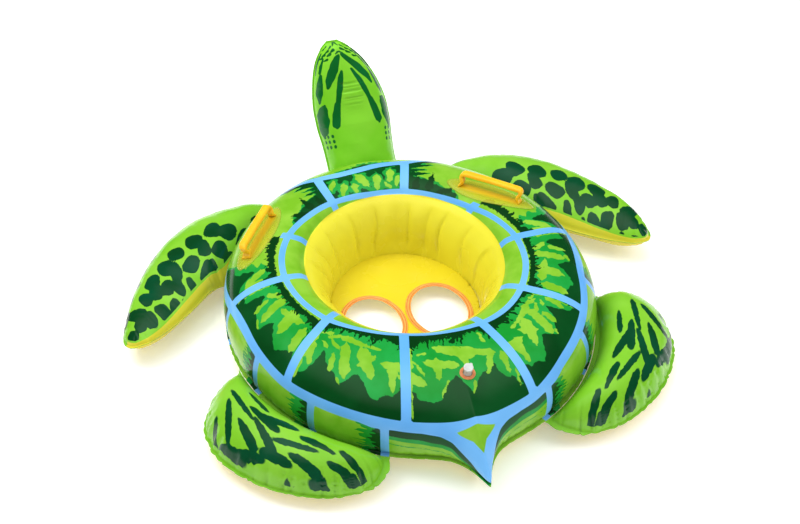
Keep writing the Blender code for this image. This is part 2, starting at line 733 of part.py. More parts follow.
def valve(frame):
    base = FLANGE_BASE
    flange = [
        (FLANGE_BORE, base),
        (FLANGE_RADIUS, base),
        (FLANGE_RADIUS - 0.0002, base + 0.0008),
        (FLANGE_RADIUS - 0.0035, base + 0.0016),
        (FLANGE_BORE, base + 0.0020),
    ]
    object_of("valve_flange", lathe(flange, frame, 24), "valve_orange")

    stem_origin = frame.translation.copy()
    bore, radius = VALVE_BORE_RADIUS, VALVE_STEM_RADIUS
    stem = [
        (bore, -VALVE_STEM_DOWN),
        (radius, -VALVE_STEM_DOWN),
        (radius, VALVE_STEM_UP - 0.0020),
        (radius + 0.0004, VALVE_STEM_UP - 0.0012),
        (radius + 0.0004, VALVE_STEM_UP),
        (bore, VALVE_STEM_UP),
    ]
    tube = object_of("valve_stem", lathe(stem, frame), "valve_clear", stem_origin)
    lug_low = (-LUG_HALF_WIDTH, radius - 0.0006, VALVE_STEM_UP - 0.0034)
    lug_high = (LUG_HALF_WIDTH, radius + 0.0034, VALVE_STEM_UP - 0.0012)
    lug = block(lug_low, lug_high, frame)
    unite(tube, object_of("stem_lug_guide", lug, "valve_clear"))

    seat = VALVE_STEM_UP + 0.0004
    cap = [
        (0.0, seat - 0.0042),
        (0.0030, seat - 0.0040),
        (0.0045, seat),
        (VALVE_CAP_RADIUS, seat),
        (VALVE_CAP_RADIUS, seat + 0.7 * VALVE_CAP_THICK),
        (VALVE_CAP_RADIUS - 0.0012, seat + VALVE_CAP_THICK),
        (0.0, seat + VALVE_CAP_THICK),
    ]
    hinge = frame @ valve_hinge_local()
    stopper = object_of("valve_cap", lathe(cap, frame), "valve_clear", hinge)
    tab_low = (-LUG_HALF_WIDTH, VALVE_CAP_RADIUS - 0.0010, seat)
    tab_high = (LUG_HALF_WIDTH, radius + 0.0032, seat + 0.0010)
    tab = block(tab_low, tab_high, frame)
    unite(stopper, object_of("cap_tab_guide", tab, "valve_clear"))

    flap_top = -VALVE_STEM_DOWN - FLAP_GAP
    flap_low = flap_top - FLAP_THICK
    flap = [(0.0, flap_low), (FLAP_RADIUS, flap_low), (FLAP_RADIUS, flap_top), (0.0, flap_top)]
    flap_hinge = frame @ valve_flap_hinge_local()
    object_of("valve_flap", lathe(flap, frame, 16), "valve_clear", flap_hinge)


def valve_flap_hinge_local():
    return Vector((0.0, FLAP_RADIUS + 0.0002, -VALVE_STEM_DOWN - FLAP_GAP))


def cut_valve_hole(deck, frame):
    reach = 0.02
    profile = [(0.0, -reach), (VALVE_HOLE_RADIUS, -reach), (VALVE_HOLE_RADIUS, reach), (0.0, reach)]
    hole = lathe(profile, frame, 16)
    cutter = object_of("valve_hole_guide", hole, "print_green")
    cutter.hide_render = True
    cutter.display_type = "WIRE"
    cut = deck.modifiers.new("valve hole", "BOOLEAN")
    cut.operation = "DIFFERENCE"
    cut.object = cutter


# --- Assembly -----------------------------------------------------------------------------------------------
def build():
    clear_scene()
    deck = ring_panel("ring_top_panel", deck_path, "print_green")
    ring_panel("ring_bottom_panel", belly_path, "film_yellow")
    ring_panel("seat_well_wall", wall_path, "film_yellow")
    seat_floor()
    tree = deck_tree(deck)
    for side, word in ((-1, "left"), (1, "right")):
        leg_rim(f"leg_rim_{word}", side)
        for place, shape in (("front", FRONT_FLIPPER), ("rear", REAR_FLIPPER)):
            flipper_skin(f"{place}_flipper_{word}_upper", shape, side, True, "print_lime")
            flipper_skin(f"{place}_flipper_{word}_lower", shape, side, False, "film_yellow")
        handle_patch(f"handle_patch_{word}", side, tree)
        handle(f"handle_{word}", side, tree)
    head_skin("head_upper", True, "print_lime")
    head_skin("head_lower", False, "print_lime")
    frame = valve_frame(tree)
    valve(frame)
    cut_valve_hole(deck, frame)


build()
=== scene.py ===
"""Looks of the inflatable sea-turtle seat float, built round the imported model.

Same frame as the part: metres, +Z up, +Y towards the head, origin on the floor under the object's middle.
Chambers are rebuilt as fine closed skins from the part's own formulae. Each print is a set of smooth fields
on the mesh, in millimetres and positive inside the ink, which the materials cut to crisp edges.
"""

import json
import math

import bmesh
import bpy
import numpy as np
from mathutils import Matrix, Vector
from mathutils.bvhtree import BVHTree


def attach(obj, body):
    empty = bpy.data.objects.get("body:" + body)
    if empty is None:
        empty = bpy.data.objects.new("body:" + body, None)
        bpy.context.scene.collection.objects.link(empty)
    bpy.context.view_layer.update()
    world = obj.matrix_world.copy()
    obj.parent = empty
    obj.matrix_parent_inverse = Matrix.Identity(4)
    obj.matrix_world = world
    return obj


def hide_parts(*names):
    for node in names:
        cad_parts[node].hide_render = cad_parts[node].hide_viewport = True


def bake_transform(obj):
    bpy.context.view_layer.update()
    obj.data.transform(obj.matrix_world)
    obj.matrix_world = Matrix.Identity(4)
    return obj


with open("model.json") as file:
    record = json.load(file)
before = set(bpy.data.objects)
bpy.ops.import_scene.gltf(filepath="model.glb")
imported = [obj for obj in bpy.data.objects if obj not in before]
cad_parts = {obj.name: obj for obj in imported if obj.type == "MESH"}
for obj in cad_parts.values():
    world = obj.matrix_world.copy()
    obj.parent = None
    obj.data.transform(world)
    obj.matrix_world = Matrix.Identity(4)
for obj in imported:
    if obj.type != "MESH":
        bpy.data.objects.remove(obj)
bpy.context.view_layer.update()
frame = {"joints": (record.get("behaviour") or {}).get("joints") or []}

# --- Dimensions repeated from the part, metres ----------------------------------------------------------
FILM = 0.0012
GAP = 0.0004
RING_Y = -0.0531
RING_HALF_WIDTH = 0.351
RING_HALF_LENGTH = 0.382
WELL_TOP_Y, WELL_TOP_HALF_WIDTH, WELL_TOP_HALF_LENGTH = 0.033, 0.190, 0.208
WELL_FLOOR_Y, WELL_FLOOR_HALF_WIDTH, WELL_FLOOR_HALF_LENGTH = 0.025, 0.142, 0.165
CROWN_Z = 0.1585
CROWN_SHARE = 0.40
GIRTH_Z = 0.072
SEAM_Z = 0.038
WELL_EDGE_Z = 0.140
FLOOR_Z = 0.0262
DECK_SQUARENESS = 2.4
FLANGE_OUT = 0.001
ROOT_OUT = 0.0022
TAIL_REACH = 0.082
TAIL_WIDTH = 0.023
TAIL_TIP_Z = 0.044
LEG_HOLE_SHIFT, LEG_HOLE_X, LEG_HOLE_Y = -0.006, 0.0665, -0.004
LEG_HOLE_HALF_WIDTH, LEG_HOLE_HALF_LENGTH = 0.0567, 0.0745
LEG_RIM_INNER, LEG_RIM_OUTER = -0.0030, 0.0080
LEG_RIM_THICK = 0.0026
FLIPPER_FLANGE = 0.035
FLIPPER_DRIFT = {  # how far a tip is blown to one side, at the leading and at the trailing edge
    ("front", -1): ((-0.002, -0.003), (-0.002, -0.011)),
    ("front", 1): ((0.0, 0.0), (-0.002, -0.005)),
    ("rear", -1): ((0.025, -0.021), (0.011, -0.016)),
    ("rear", 1): ((0.003, 0.005), (0.0, -0.005)),
}
RIGHT_FRONT_LIFT, RIGHT_FRONT_EXTRA = 0.016, 0.008
HEAD_FLANGE = 0.003
HEAD_WELD_HALF, FLIPPER_WELD_HALF = 0.0008, 0.0007  # half a weld's thickness, as it is drawn here
HANDLE_PLACES = {-1: (-0.252, 0.162, -124.7), 1: (0.217, 0.157, -44.5)}
HANDLE_FOOT_REACH, HANDLE_KNEE, HANDLE_SHOULDER = 0.0665, 0.0595, 0.064
HANDLE_RISE = 0.0225
HANDLE_LEAN = 24.0
HANDLE_WIDE, HANDLE_THICK = 0.014, 0.0075
HANDLE_CLEAR = 0.0037  # from the deck to the strap's underside at its thicker part; a foot is thinner
PATCH_HALF_LENGTH, PATCH_HALF_WIDTH = 0.095, 0.027
VALVE_BASE = (0.010, RING_Y - 0.305, 0.15257)
VALVE_TILT, VALVE_TURN = 12.0, -50.0

FRONT_FLIPPER = {
    "root": (66.0, 28.0),
    "leading": [(0.190, 0.398), (0.272, 0.400), (0.360, 0.374)]
    + [(0.440, 0.298), (0.496, 0.201), (0.533, 0.106)],
    "tip": [(0.539, 0.068), (0.523, 0.049)],
    "trailing": [(0.345, 0.168), (0.400, 0.117), (0.450, 0.077), (0.496, 0.050)],
    "swell_along": 0.24,
    "swell_across": 0.5,
    "root_margin": 0.03,
    "tip_margin": 0.015,
    "rise": (0.060, 0.030),
    "sink": (0.034, 0.024),
    "seam": (SEAM_Z, 0.042),
}
REAR_FLIPPER = {
    "root": (-9.5, -66.0),
    "leading": [(0.368, -0.067), (0.404, -0.078)],
    "tip": [(0.440, -0.110), (0.461, -0.168), (0.451, -0.236)]
    + [(0.399, -0.312), (0.327, -0.366), (0.256, -0.390)],
    "trailing": [(0.160, -0.371), (0.200, -0.388)],
    "swell_along": 0.5,
    "swell_across": 0.30,
    "root_margin": 0.06,
    "tip_margin": 0.035,
    "rise": (0.064, 0.056),
    "sink": (0.020, 0.016),
    "seam": (SEAM_Z, 0.028),
}
HEAD_LINE = [(0.3835, 0.038), (0.394, 0.038), (0.428, 0.075), (0.461, 0.120), (0.489, 0.165), (0.511, 0.215)]
HEAD_LINE += [(0.530, 0.269), (0.543, 0.329)]
HEAD_STATIONS = [  # share of the line, half-width, back, front
    (0.000, 0.0725, 0.000, 0.000),
    (0.035, 0.0725, 0.000, 0.000),
    (0.070, 0.0725, 0.018, 0.016),
    (0.130, 0.0715, 0.031, 0.031),
    (0.220, 0.0715, 0.042, 0.043),
    (0.340, 0.0735, 0.048, 0.051),
    (0.470, 0.0775, 0.048, 0.057),
    (0.590, 0.0765, 0.043, 0.059),
    (0.700, 0.0695, 0.040, 0.055),
    (0.800, 0.0585, 0.036, 0.047),
    (0.880, 0.0455, 0.029, 0.036),
    (0.940, 0.0305, 0.020, 0.024),
    (0.975, 0.0195, 0.010, 0.012),
    (0.990, 0.0125, 0.000, 0.000),
    (1.000, 0.0085, 0.000, 0.000),
]
HEAD_ROOT_X, HEAD_TIP_X = 0.0285, -0.002


# --- Numbers --------------------------------------------------------------------------------------------
def curve(points, shares):
    """Points at `shares` of the way along a smooth curve through `points`."""
    points = np.asarray(points, float)
    lengths = np.linalg.norm(np.diff(points, axis=0), axis=1)
    marks = np.concatenate(([0.0], np.cumsum(lengths)))
    along = np.clip(shares, 0, 1) * marks[-1]
    i = np.clip(np.searchsorted(marks, along, side="right") - 1, 0, len(lengths) - 1)
    padded = np.vstack((2 * points[0] - points[1], points, 2 * points[-1] - points[-2]))
    spans = np.linalg.norm(np.diff(padded, axis=0), axis=1)
    u = ((along - marks[i]) / lengths[i])[..., None]
    before, a, b, after = padded[i], padded[i + 1], padded[i + 2], padded[i + 3]
    leave = (b - before) * (spans[i + 1] / (spans[i] + spans[i + 1]))[..., None]
    arrive = (after - a) * (spans[i + 1] / (spans[i + 2] + spans[i + 1]))[..., None]
    near = a * (2 * u**3 - 3 * u**2 + 1) + leave * (u**3 - 2 * u**2 + u)
    return near + b * (3 * u**2 - 2 * u**3) + arrive * (u**3 - u**2)


def resampled(path, count):
    """`count` points at even spacing along a polyline, and its length."""
    marks = np.concatenate(([0.0], np.cumsum(np.linalg.norm(np.diff(path, axis=0), axis=1))))
    at = np.linspace(0, marks[-1], count)
    return np.stack([np.interp(at, marks, path[:, k]) for k in range(path.shape[1])], -1), marks[-1]


def smooth_step(value, low, high):
    x = np.clip((value - low) / (high - low), 0, 1)
    return x * x * (3 - 2 * x)


def waves(x, y, length, seed):
    """A smooth wandering field between about -1 and 1, with waves of about `length`."""
    total = 0
    for k in range(5):
        turn = seed * 1.7 + k * 2.399
        pace = math.tau / length * (0.7 + 0.19 * k)
        total = total + np.sin(pace * (x * math.cos(turn) + y * math.sin(turn)) + seed * 3.1 + k * 1.3)
    return total / 3.2


def creases(x, seed):
    """1 in narrow folds near each whole number of x, which wander a little, and 0 between them."""
    x = x + 0.24 * np.sin(2.1 * x + seed) + 0.17 * np.sin(4.7 * x + 2 * seed)
    return 1 - np.abs(np.sin(np.pi * x)) ** 0.55


def capsule(x, y, ax, ay, bx, by, ra, rb):
    """Depth inside a drop from a (radius ra) to b (radius rb); positive inside."""
    dx, dy = bx - ax, by - ay
    share = np.clip(((x - ax) * dx + (y - ay) * dy) / np.maximum(dx * dx + dy * dy, 1e-9), 0, 1)
    away = np.hypot(x - ax - share * dx, y - ay - share * dy)
    return ra + (rb - ra) * share - away


def polygon(x, y, corners):
    """Depth inside a closed outline; positive inside."""
    away = np.full(x.shape, 1e9)
    inside = np.zeros(x.shape, bool)
    for (ax, ay), (bx, by) in zip(corners, corners[1:] + corners[:1]):
        away = np.minimum(away, -capsule(x, y, ax, ay, bx, by, 0.0, 0.0))
        crosses = (ay > y) != (by > y)
        at = ax + (y - ay) * (bx - ax) / ((by - ay) or 1e-9)
        inside ^= crosses & (x < at)
    return np.where(inside, away, -away)


# --- Mesh making ----------------------------------------------------------------------------------------
def mesh_object(name, points, faces, materials, fields=None, slots=None):
    mesh = bpy.data.meshes.new(name)
    mesh.from_pydata([tuple(p) for p in points], [], [tuple(int(i) for i in face) for face in faces])
    for material in materials:
        mesh.materials.append(material)
    if slots is not None:
        mesh.polygons.foreach_set("material_index", np.asarray(slots, np.int32))
    for field, values in (fields or {}).items():
        layer = mesh.attributes.new(field, "FLOAT", "POINT")
        layer.data.foreach_set("value", np.asarray(values, np.float32))
    mesh.validate()
    mesh.shade_smooth()
    made = bpy.data.objects.new(name, mesh)
    bpy.context.scene.collection.objects.link(made)
    return made


def grid_faces(rows, columns, wrap_rows=False, wrap_columns=False, start=0):
    i = np.arange(rows if wrap_rows else rows - 1)
    j = np.arange(columns if wrap_columns else columns - 1)
    i, j = np.meshgrid(i, j, indexing="ij")
    i2, j2 = (i + 1) % rows, (j + 1) % columns
    quads = np.stack((i * columns + j, i * columns + j2, i2 * columns + j2, i2 * columns + j), -1)
    return quads.reshape(-1, 4) + start


def two_skin_faces(rows, columns):
    """Faces of two grids joined round their border, and how many faces join them."""
    count = rows * columns
    border = [(i, 0) for i in range(rows)]
    border += [(rows - 1, j) for j in range(1, columns)]
    border += [(i, columns - 1) for i in range(rows - 2, -1, -1)]
    border += [(0, j) for j in range(columns - 2, 0, -1)]
    ids = np.array([i * columns + j for i, j in border])
    after = np.roll(ids, -1)
    strip = np.stack((ids, after, after + count, ids + count), -1)
    faces = (grid_faces(rows, columns), grid_faces(rows, columns, start=count)[:, ::-1], strip)
    return np.vstack(faces), len(strip)


def face_outward(made):
    """Turn a closed body's faces outward."""
    work = bmesh.new()
    work.from_mesh(made.data)
    bmesh.ops.recalc_face_normals(work, faces=work.faces)
    work.to_mesh(made.data)
    work.free()
    made.data.shade_smooth()


# --- Ring -----------------------------------------------------------------------------------------------
def station(angle):
    """Widest-line point, outward direction, and the distances along it to the well's edge and floor."""
    c, s = np.cos(angle), np.sin(angle)
    outer = np.stack((RING_HALF_WIDTH * c, RING_Y + RING_HALF_LENGTH * s), -1)
    edge = np.stack((WELL_TOP_HALF_WIDTH * c, RING_Y + WELL_TOP_Y + WELL_TOP_HALF_LENGTH * s), -1)
    floor_y = RING_Y + WELL_FLOOR_Y + WELL_FLOOR_HALF_LENGTH * s
    floor = np.stack((WELL_FLOOR_HALF_WIDTH * c, floor_y), -1)
    outward = outer - edge
    outward = outward / np.linalg.norm(outward, axis=-1, keepdims=True)
    return outer, outward, ((edge - outer) * outward).sum(-1), ((floor - outer) * outward).sum(-1)


def tail_reach(angle):
    soft = 0.0015
    x = RING_HALF_WIDTH * np.cos(angle)
    reach = TAIL_REACH * np.exp(-(np.sqrt(x * x + soft * soft) - soft) / TAIL_WIDTH)
    return np.where(np.sin(angle) > 0, 0.0, reach)


def ring_angles(count):
    """Angles round the ring from the tail, packed closer near the tail's point."""
    s = np.linspace(-180, 180, 4001)
    crowding = 1 + 2.4 * np.exp(-((s / 9.0) ** 2))
    total = np.concatenate(([0.0], np.cumsum((crowding[1:] + crowding[:-1]) / 2)))
    spread = np.interp(np.arange(count) / count * total[-1], total, s)
    return np.radians(spread - 90)


def pushed(path, distance):
    """A flat path moved to its left."""
    step = np.gradient(path, axis=0)
    step /= np.maximum(np.linalg.norm(step, axis=1, keepdims=True), 1e-9)
    return path + np.stack((-step[:, 1], step[:, 0]), -1) * distance


DECK_COUNT, BELLY_COUNT, WALL_COUNT = 100, 26, 32


def ring_sections(angles):
    """Outer skin of every section as (out, height), and the length of its deck."""
    _, _, edges, floors = station(angles)
    reaches = tail_reach(angles)
    turn = np.radians(np.linspace(90, 0, 90))
    across, up = np.cos(turn) ** (2 / DECK_SQUARENESS), np.sin(turn) ** (2 / DECK_SQUARENESS)
    across[-1], up[-1] = 1.0, 0.0
    weight = across**1.5
    sections, lengths = [], []
    for edge, floor, reach in zip(edges, floors, reaches):
        pinch = (reach / TAIL_REACH) ** 0.6
        crown = edge * (1 - CROWN_SHARE)
        rim = [(edge + 0.0002, WELL_EDGE_Z), (edge + 0.012, 0.1500), (edge + 0.034, 0.1565), (crown, CROWN_Z)]
        rim = curve(rim + [(crown + 0.04, CROWN_Z - 0.0006)], np.linspace(0, 1, 60))
        height = GIRTH_Z + (CROWN_Z - GIRTH_Z) * up
        height = height + (TAIL_TIP_Z + 0.006 - height) * pinch * weight**2
        shoulder = np.stack((crown * (1 - across) + reach * weight, height), -1)
        lower = 0.052 + (TAIL_TIP_Z + 0.002 - 0.052) * pinch
        side = curve(
            [shoulder[-2], shoulder[-1], (-0.002 + reach, lower), (-0.009 + reach, SEAM_Z + GAP / 2)],
            np.linspace(0.02, 1, 24),
        )
        deck = np.vstack((rim[rim[:, 0] < crown], shoulder[:-1], side))
        deck, length = resampled(pushed(deck, FILM), DECK_COUNT - 2)
        lip = [(FLANGE_OUT + reach - 0.002, SEAM_Z + 0.0012), (FLANGE_OUT + reach, SEAM_Z + 0.0006)]
        seam = SEAM_Z - GAP / 2
        belly = [(FLANGE_OUT + reach, SEAM_Z - 0.0006), (-0.009 + reach, seam - FILM)]
        under = [
            (-0.009 + reach, seam),
            (-0.018 + 0.85 * reach, 0.020),
            (-0.034 + 0.55 * reach, 0.006),
            (-0.055 + 0.10 * reach, FILM),
            (floor + 0.045, FILM),
            (floor + 0.020, 0.006),
            (floor + 0.001, 0.0205),
        ]
        under = pushed(curve(under, np.linspace(0, 1, 120)), FILM)[2:]
        under, _ = resampled(under, BELLY_COUNT - 2)
        flare = edge - floor
        wall = [
            (floor, 0.0215),
            (floor + 0.02 * flare, 0.050),
            (floor + 0.10 * flare, 0.080),
            (floor + 0.32 * flare, 0.108),
            (floor + 0.66 * flare, 0.128),
            (edge - 0.0002, WELL_EDGE_Z - 0.0003),
        ]
        wall, _ = resampled(pushed(curve(wall, np.linspace(0, 1, 90)), FILM), WALL_COUNT)
        section = np.vstack((deck, lip, belly, under, wall))
        section[:, 1] = np.maximum(section[:, 1], 0.0)
        sections.append(section)
        lengths.append(length)
    return np.array(sections), np.array(lengths)


# Most lists from here to FRONT_LIME, and HEAD_STROKES and HEAD_DASHES below, follow points measured with a
# helper program, many of them closely. They are data more than design, and should be redrawn by rule.
# The print on the deck. Places are (degrees round the ring, millimetres of deck from the well's edge), and
# inside a scute (share from one radial line to the next, share from the inner line to the outer one).
INNER_LINE = [(0, 35), (15, 23), (30, 11), (52, 4), (72, 5)]
INNER_LINE += [(92, 4), (115, 16), (133, 26), (151, 40), (166, 47)]
INNER_LINE += [(180, 50), (196, 47), (213, 44), (231, 28), (251, 20)]
INNER_LINE += [(271, 23), (290, 40), (305, 47), (322, 46)]
INNER_LINE += [(340, 44)]
OUTER_LINE = [(3, 151), (20, 155), (40, 150), (55, 124), (70, 93), (92, 77), (102, 77), (112, 92), (126, 122)]
OUTER_LINE += [(142, 152), (160, 160), (175, 161), (190, 166)]
OUTER_LINE += [(199, 179), (213, 198), (231, 208), (250, 221), (264, 226), (276, 225), (290, 219), (305, 193)]
OUTER_LINE += [(326, 173), (342, 152)]
# Beside the handles the outer line runs this much lower than the scutes are drawn.
OUTER_PUSH = [(0, 0), (8, 10), (20, 22), (45, 24), (60, 20)]
OUTER_PUSH += [(72, 0), (110, 0), (122, 18), (140, 24), (165, 24)]
OUTER_PUSH += [(175, 12), (182, 0), (270, 0)]
RADIAL_LINES = {  # degrees where the line crosses the inner line and meets the outer one
    "A": (71.5, 72.5),
    "B": (115.5, 110.5),
    "C": (151.0, 151.0),
    "D": (179.5, 178.0),
    "E": (213.0, 213.0),
    "F": (251.0, 250.5),
    "G": (290.0, 290.0),
    "H": (322.0, 326.0),
    "I": (357.5, 363.0),
    "J": (389.5, 389.5),
}
SHORT_LINES = ("C", "J")  # they stop a little past the inner line, at the handles
SHORT_LINE_END = 14.0
INNER_HALF, OUTER_HALF, RADIAL_HALF = 6.0, 9.0, 8.6
TICK_FIRST, TICK_STEP, TICK_PAIRS = 25.5, 22.2, 6  # degrees from the tail, and how many on each side
SIDE_TICKS = [
    (270 + side * (TICK_FIRST + TICK_STEP * k)) % 360 for side in (-1, 1) for k in range(TICK_PAIRS)
]
TAIL_EDGE = [(236, 8), (241, 13), (247, 10), (255, 11), (260, 16)]
TAIL_EDGE += [(263, 27), (265, 46), (267, 66), (268.5, 92), (270, 112)]
TAIL_EDGE += [(271.5, 92), (273, 66), (275, 40), (277, 22), (280, 13)]
TAIL_EDGE += [(285, 10), (293, 10), (299, 13), (304, 8)]
TAIL_TRIANGLE = [(-36, -384), (0, -388), (36, -384), (12, -405), (0, -427), (-12, -405)]

REAR_SCUTE = {
    "leaf": [(0, 0.66), (0.07, 0.70), (0.10, 0.76), (0.21, 0.79), (0.28, 0.76), (0.36, 0.61), (0.44, 0.56)]
    + [(0.54, 0.75), (0.60, 0.66), (0.63, 0.62), (0.72, 0.56), (0.79, 0.42), (0.81, 0.62), (0.86, 0.74)]
    + [(0.90, 0.70), (0.93, 0.83), (0.96, 0.84), (1, 0.70)],
    "strip": [(0, 0.33), (0.06, 0.31), (0.12, 0.24), (0.19, 0.20), (0.35, 0.15), (0.58, 0.16), (0.75, 0.11)]
    + [(0.88, 0.12), (0.93, 0.20), (0.97, 0.38), (1, 0.46)],
    "gap": 0.0,
    "lime": [
        (0.00, 0.55, 0.13, 0.61, 13, 8),
        (0.23, 0.40, 0.45, 0.45, 8, 9),
        (0.30, 0.42, 0.29, 0.55, 10, 5),
        (0.37, 0.24, 0.62, 0.33, 9, 16),
        (0.57, 0.36, 0.56, 0.47, 11, 5),
        (0.72, 0.35, 0.82, 0.40, 7, 8),
        (0.83, 0.41, 0.72, 0.60, 7, 4),
        (0.92, 0.49, 0.89, 0.66, 7, 3),
        (0.95, 0.70, 0.925, 0.83, 4, 2),
        (0.57, 0.67, 0.54, 0.745, 4, 2),
        (0.285, 0.74, 0.36, 0.60, 2, 2),
        (0.09, 0.39, 0.16, 0.53, 2, 3),
        (0.86, 0.13, 0.85, 0.24, 2, 4),
        (0.13, 0.30, 0.20, 0.28, 2, 3),
    ],
}
HIND_SCUTE = {
    "leaf": [(0, 0.72), (0.04, 0.83), (0.07, 0.80), (0.13, 0.75), (0.17, 0.59), (0.19, 0.43), (0.24, 0.52)]
    + [(0.29, 0.62), (0.36, 0.65), (0.44, 0.77), (0.50, 0.67), (0.57, 0.59), (0.64, 0.67), (0.70, 0.78)]
    + [(0.76, 0.82), (0.82, 0.75), (0.90, 0.75), (0.95, 0.69), (1, 0.66)],
    "strip": [(0, 0.26), (0.05, 0.20), (0.12, 0.12), (0.18, 0.08), (0.33, 0.10), (0.45, 0.12), (0.55, 0.13)]
    + [(0.78, 0.17), (0.91, 0.24), (1, 0.30)],
    "gap": 0.0,
    "lime": [
        (0.03, 0.62, 0.055, 0.80, 5, 2),
        (0.05, 0.44, 0.12, 0.65, 10, 4),
        (0.30, 0.46, 0.32, 0.62, 4, 6),
        (0.38, 0.33, 0.45, 0.61, 9, 10),
        (0.58, 0.36, 0.68, 0.57, 13, 8),
        (0.56, 0.50, 0.65, 0.40, 4, 9),
        (0.82, 0.44, 0.94, 0.45, 8, 11),
        (0.88, 0.52, 0.89, 0.70, 9, 3),
        (0.08, 0.21, 0.16, 0.18, 2, 4),
        (0.17, 0.25, 0.26, 0.19, 3, 4),
        (0.33, 0.20, 0.50, 0.23, 7, 6),
        (0.49, 0.23, 0.74, 0.26, 4, 3),
        (0.41, 0.71, 0.44, 0.765, 3, 1.5),
        (0.22, 0.29, 0.30, 0.35, 3, 4),
        (0.13, 0.33, 0.19, 0.38, 2, 4),
    ],
}
FLANK_SCUTE = {
    "leaf": [(0, 0.60), (0.06, 0.76), (0.13, 0.80), (0.145, 0.46), (0.20, 0.46), (0.30, 0.69), (0.42, 0.79)]
    + [(0.47, 0.80), (0.50, 0.64), (0.55, 0.56), (0.64, 0.68), (0.75, 0.79), (0.84, 0.70), (0.92, 0.66)]
    + [(1, 0.63)],
    "strip": [(0, 0.14), (0.10, 0.18), (0.20, 0.21), (0.40, 0.22), (0.57, 0.20), (0.72, 0.17), (0.80, 0.19)]
    + [(0.82, 0.33), (0.86, 0.20), (0.92, 0.30), (1, 0.22)],
    "gap": 0.075,
    "lime": [
        (0.36, 0.27, 0.42, 0.62, 9, 8),
        (0.62, 0.27, 0.66, 0.50, 12, 11),
        (0.88, 0.37, 0.90, 0.60, 9, 9),
        (0.26, 0.50, 0.30, 0.70, 5, 4),
        (0.20, 0.38, 0.25, 0.27, 5, 7),
        (0.50, 0.33, 0.74, 0.27, 6, 8),
        (0.39, 0.74, 0.45, 0.79, 3, 2),
        (0.03, 0.40, 0.05, 0.74, 3, 3),
    ],
}
SCUTES = [  # from line, to line, print, mirrored
    ("D", "E", FLANK_SCUTE, False),
    ("E", "F", HIND_SCUTE, False),
    ("F", "G", REAR_SCUTE, False),
    ("G", "H", HIND_SCUTE, True),
    ("H", "I", FLANK_SCUTE, True),
]
# The scutes with the handles are plain lime towards line C or J and leafy next to line D or I.
HANDLE_EDGE = [(0, 1.3), (0.10, 1.1), (0.18, 0.86), (0.26, 0.66), (0.34, 0.58), (0.42, 0.66), (0.50, 0.54)]
HANDLE_EDGE += [(0.62, 0.62), (0.72, 0.50), (0.84, 0.46), (1.0, 0.36), (1.2, 0.30)]
HANDLE_LEAVES = [(0.64, 0.42, 0.58, 0.78, 13, 7), (0.80, 0.34, 0.90, 0.70, 15, 9)]
HANDLE_LEAVES += [(0.62, 0.74, 0.50, 0.82, 7, 3)]
HANDLE_LIME = [(0.76, 0.36, 0.88, 0.60, 7, 8), (0.92, 0.40, 0.95, 0.66, 4, 3)]
HANDLE_STRIP = [(0, 0.10), (0.03, 0.22), (0.10, 0.28), (0.30, 0.30), (0.45, 0.29), (0.70, 0.25), (0.76, 0.36)]
HANDLE_STRIP += [(0.82, 0.22), (0.87, 0.38), (0.92, 0.22), (1, 0.20)]
HANDLE_GAP = 0.115
# Between the handles and the front scute, flames of lime reach into the dark next to line B or A.
FLAME_EDGE = [(0, 0.80), (0.12, 0.72), (0.20, 0.47), (0.27, 0.42), (0.34, 0.26), (0.42, 0.12), (0.49, 0.30)]
FLAME_EDGE += [(0.56, 0.10), (0.62, 0.28), (0.70, 0.08), (0.78, 0.30)]
FLAME_EDGE += [(0.86, 0.18), (0.96, 0.34), (1.3, 0.40)]
FLAME_SPIKES = [(0.33, 0.16, 0.31, 0.48, 9, 2), (0.50, 0.10, 0.64, 0.17, 7, 6)]
FLAME_SPIKES += [(0.15, 0.15, 0.16, 0.36, 8, 2)]
FRONT_LIME = [
    (0.87, 0.64, 0.92, 0.42, 6, 4),
    (0.77, 0.40, 0.82, 0.14, 8, 3),
    (0.64, 0.30, 0.64, 0.16, 8, 4),
    (0.54, 0.62, 0.49, 0.36, 10, 7),
    (0.34, 0.44, 0.35, 0.16, 9, 5),
    (0.17, 0.60, 0.18, 0.38, 8, 6),
    (0.08, 0.40, 0.10, 0.18, 5, 3),
    (0.23, 0.24, 0.19, 0.14, 4, 3),
]
NO_INK = -50.0


def around(table, blur=5.0):
    """A smooth periodic function of degrees through a table of (degrees, value)."""
    degrees, values = np.array(sorted((d % 360, v) for d, v in table), float).T
    degrees = np.concatenate((degrees - 360, degrees, degrees + 360))
    steps = np.arange(0, 360, 0.5)
    dense = np.interp(steps, degrees, np.tile(values, 3))
    away = np.minimum(steps, 360 - steps)
    kernel = np.exp(-((away / blur) ** 2))
    smooth = np.fft.irfft(np.fft.rfft(dense) * np.fft.rfft(kernel / kernel.sum()), len(steps))
    return lambda angle: np.interp(angle % 360, np.append(steps, 360), np.append(smooth, smooth[0]))


def step_line(table, at):
    keys, values = np.array(table, float).T
    return np.interp(at, keys, values)


def blobs(table, u, v, width, height):
    """Depth inside the union of drops placed in a scute's shares."""
    depth = np.full(u.shape, NO_INK)
    for u0, v0, u1, v1, r0, r1 in table:
        ax, ay, bx, by = (u0 - u) * width, (v0 - v) * height, (u1 - u) * width, (v1 - v) * height
        length = np.maximum(np.hypot(bx - ax, by - ay), 0.1)
        dx, dy = (bx - ax) / length, (by - ay) / length
        depth = np.maximum(depth, capsule(0.0, 0.0, ax, ay, bx, by, r0, r1))
        # Both ends run out to a point.
        for x, y, sign, r in ((ax, ay, -1, r0), (bx, by, 1, r1)):
            tip_x, tip_y = x + sign * dx * r * 1.7, y + sign * dy * r * 1.7
            depth = np.maximum(depth, capsule(0.0, 0.0, x, y, tip_x, tip_y, r * 0.9, 0.3))
    return depth


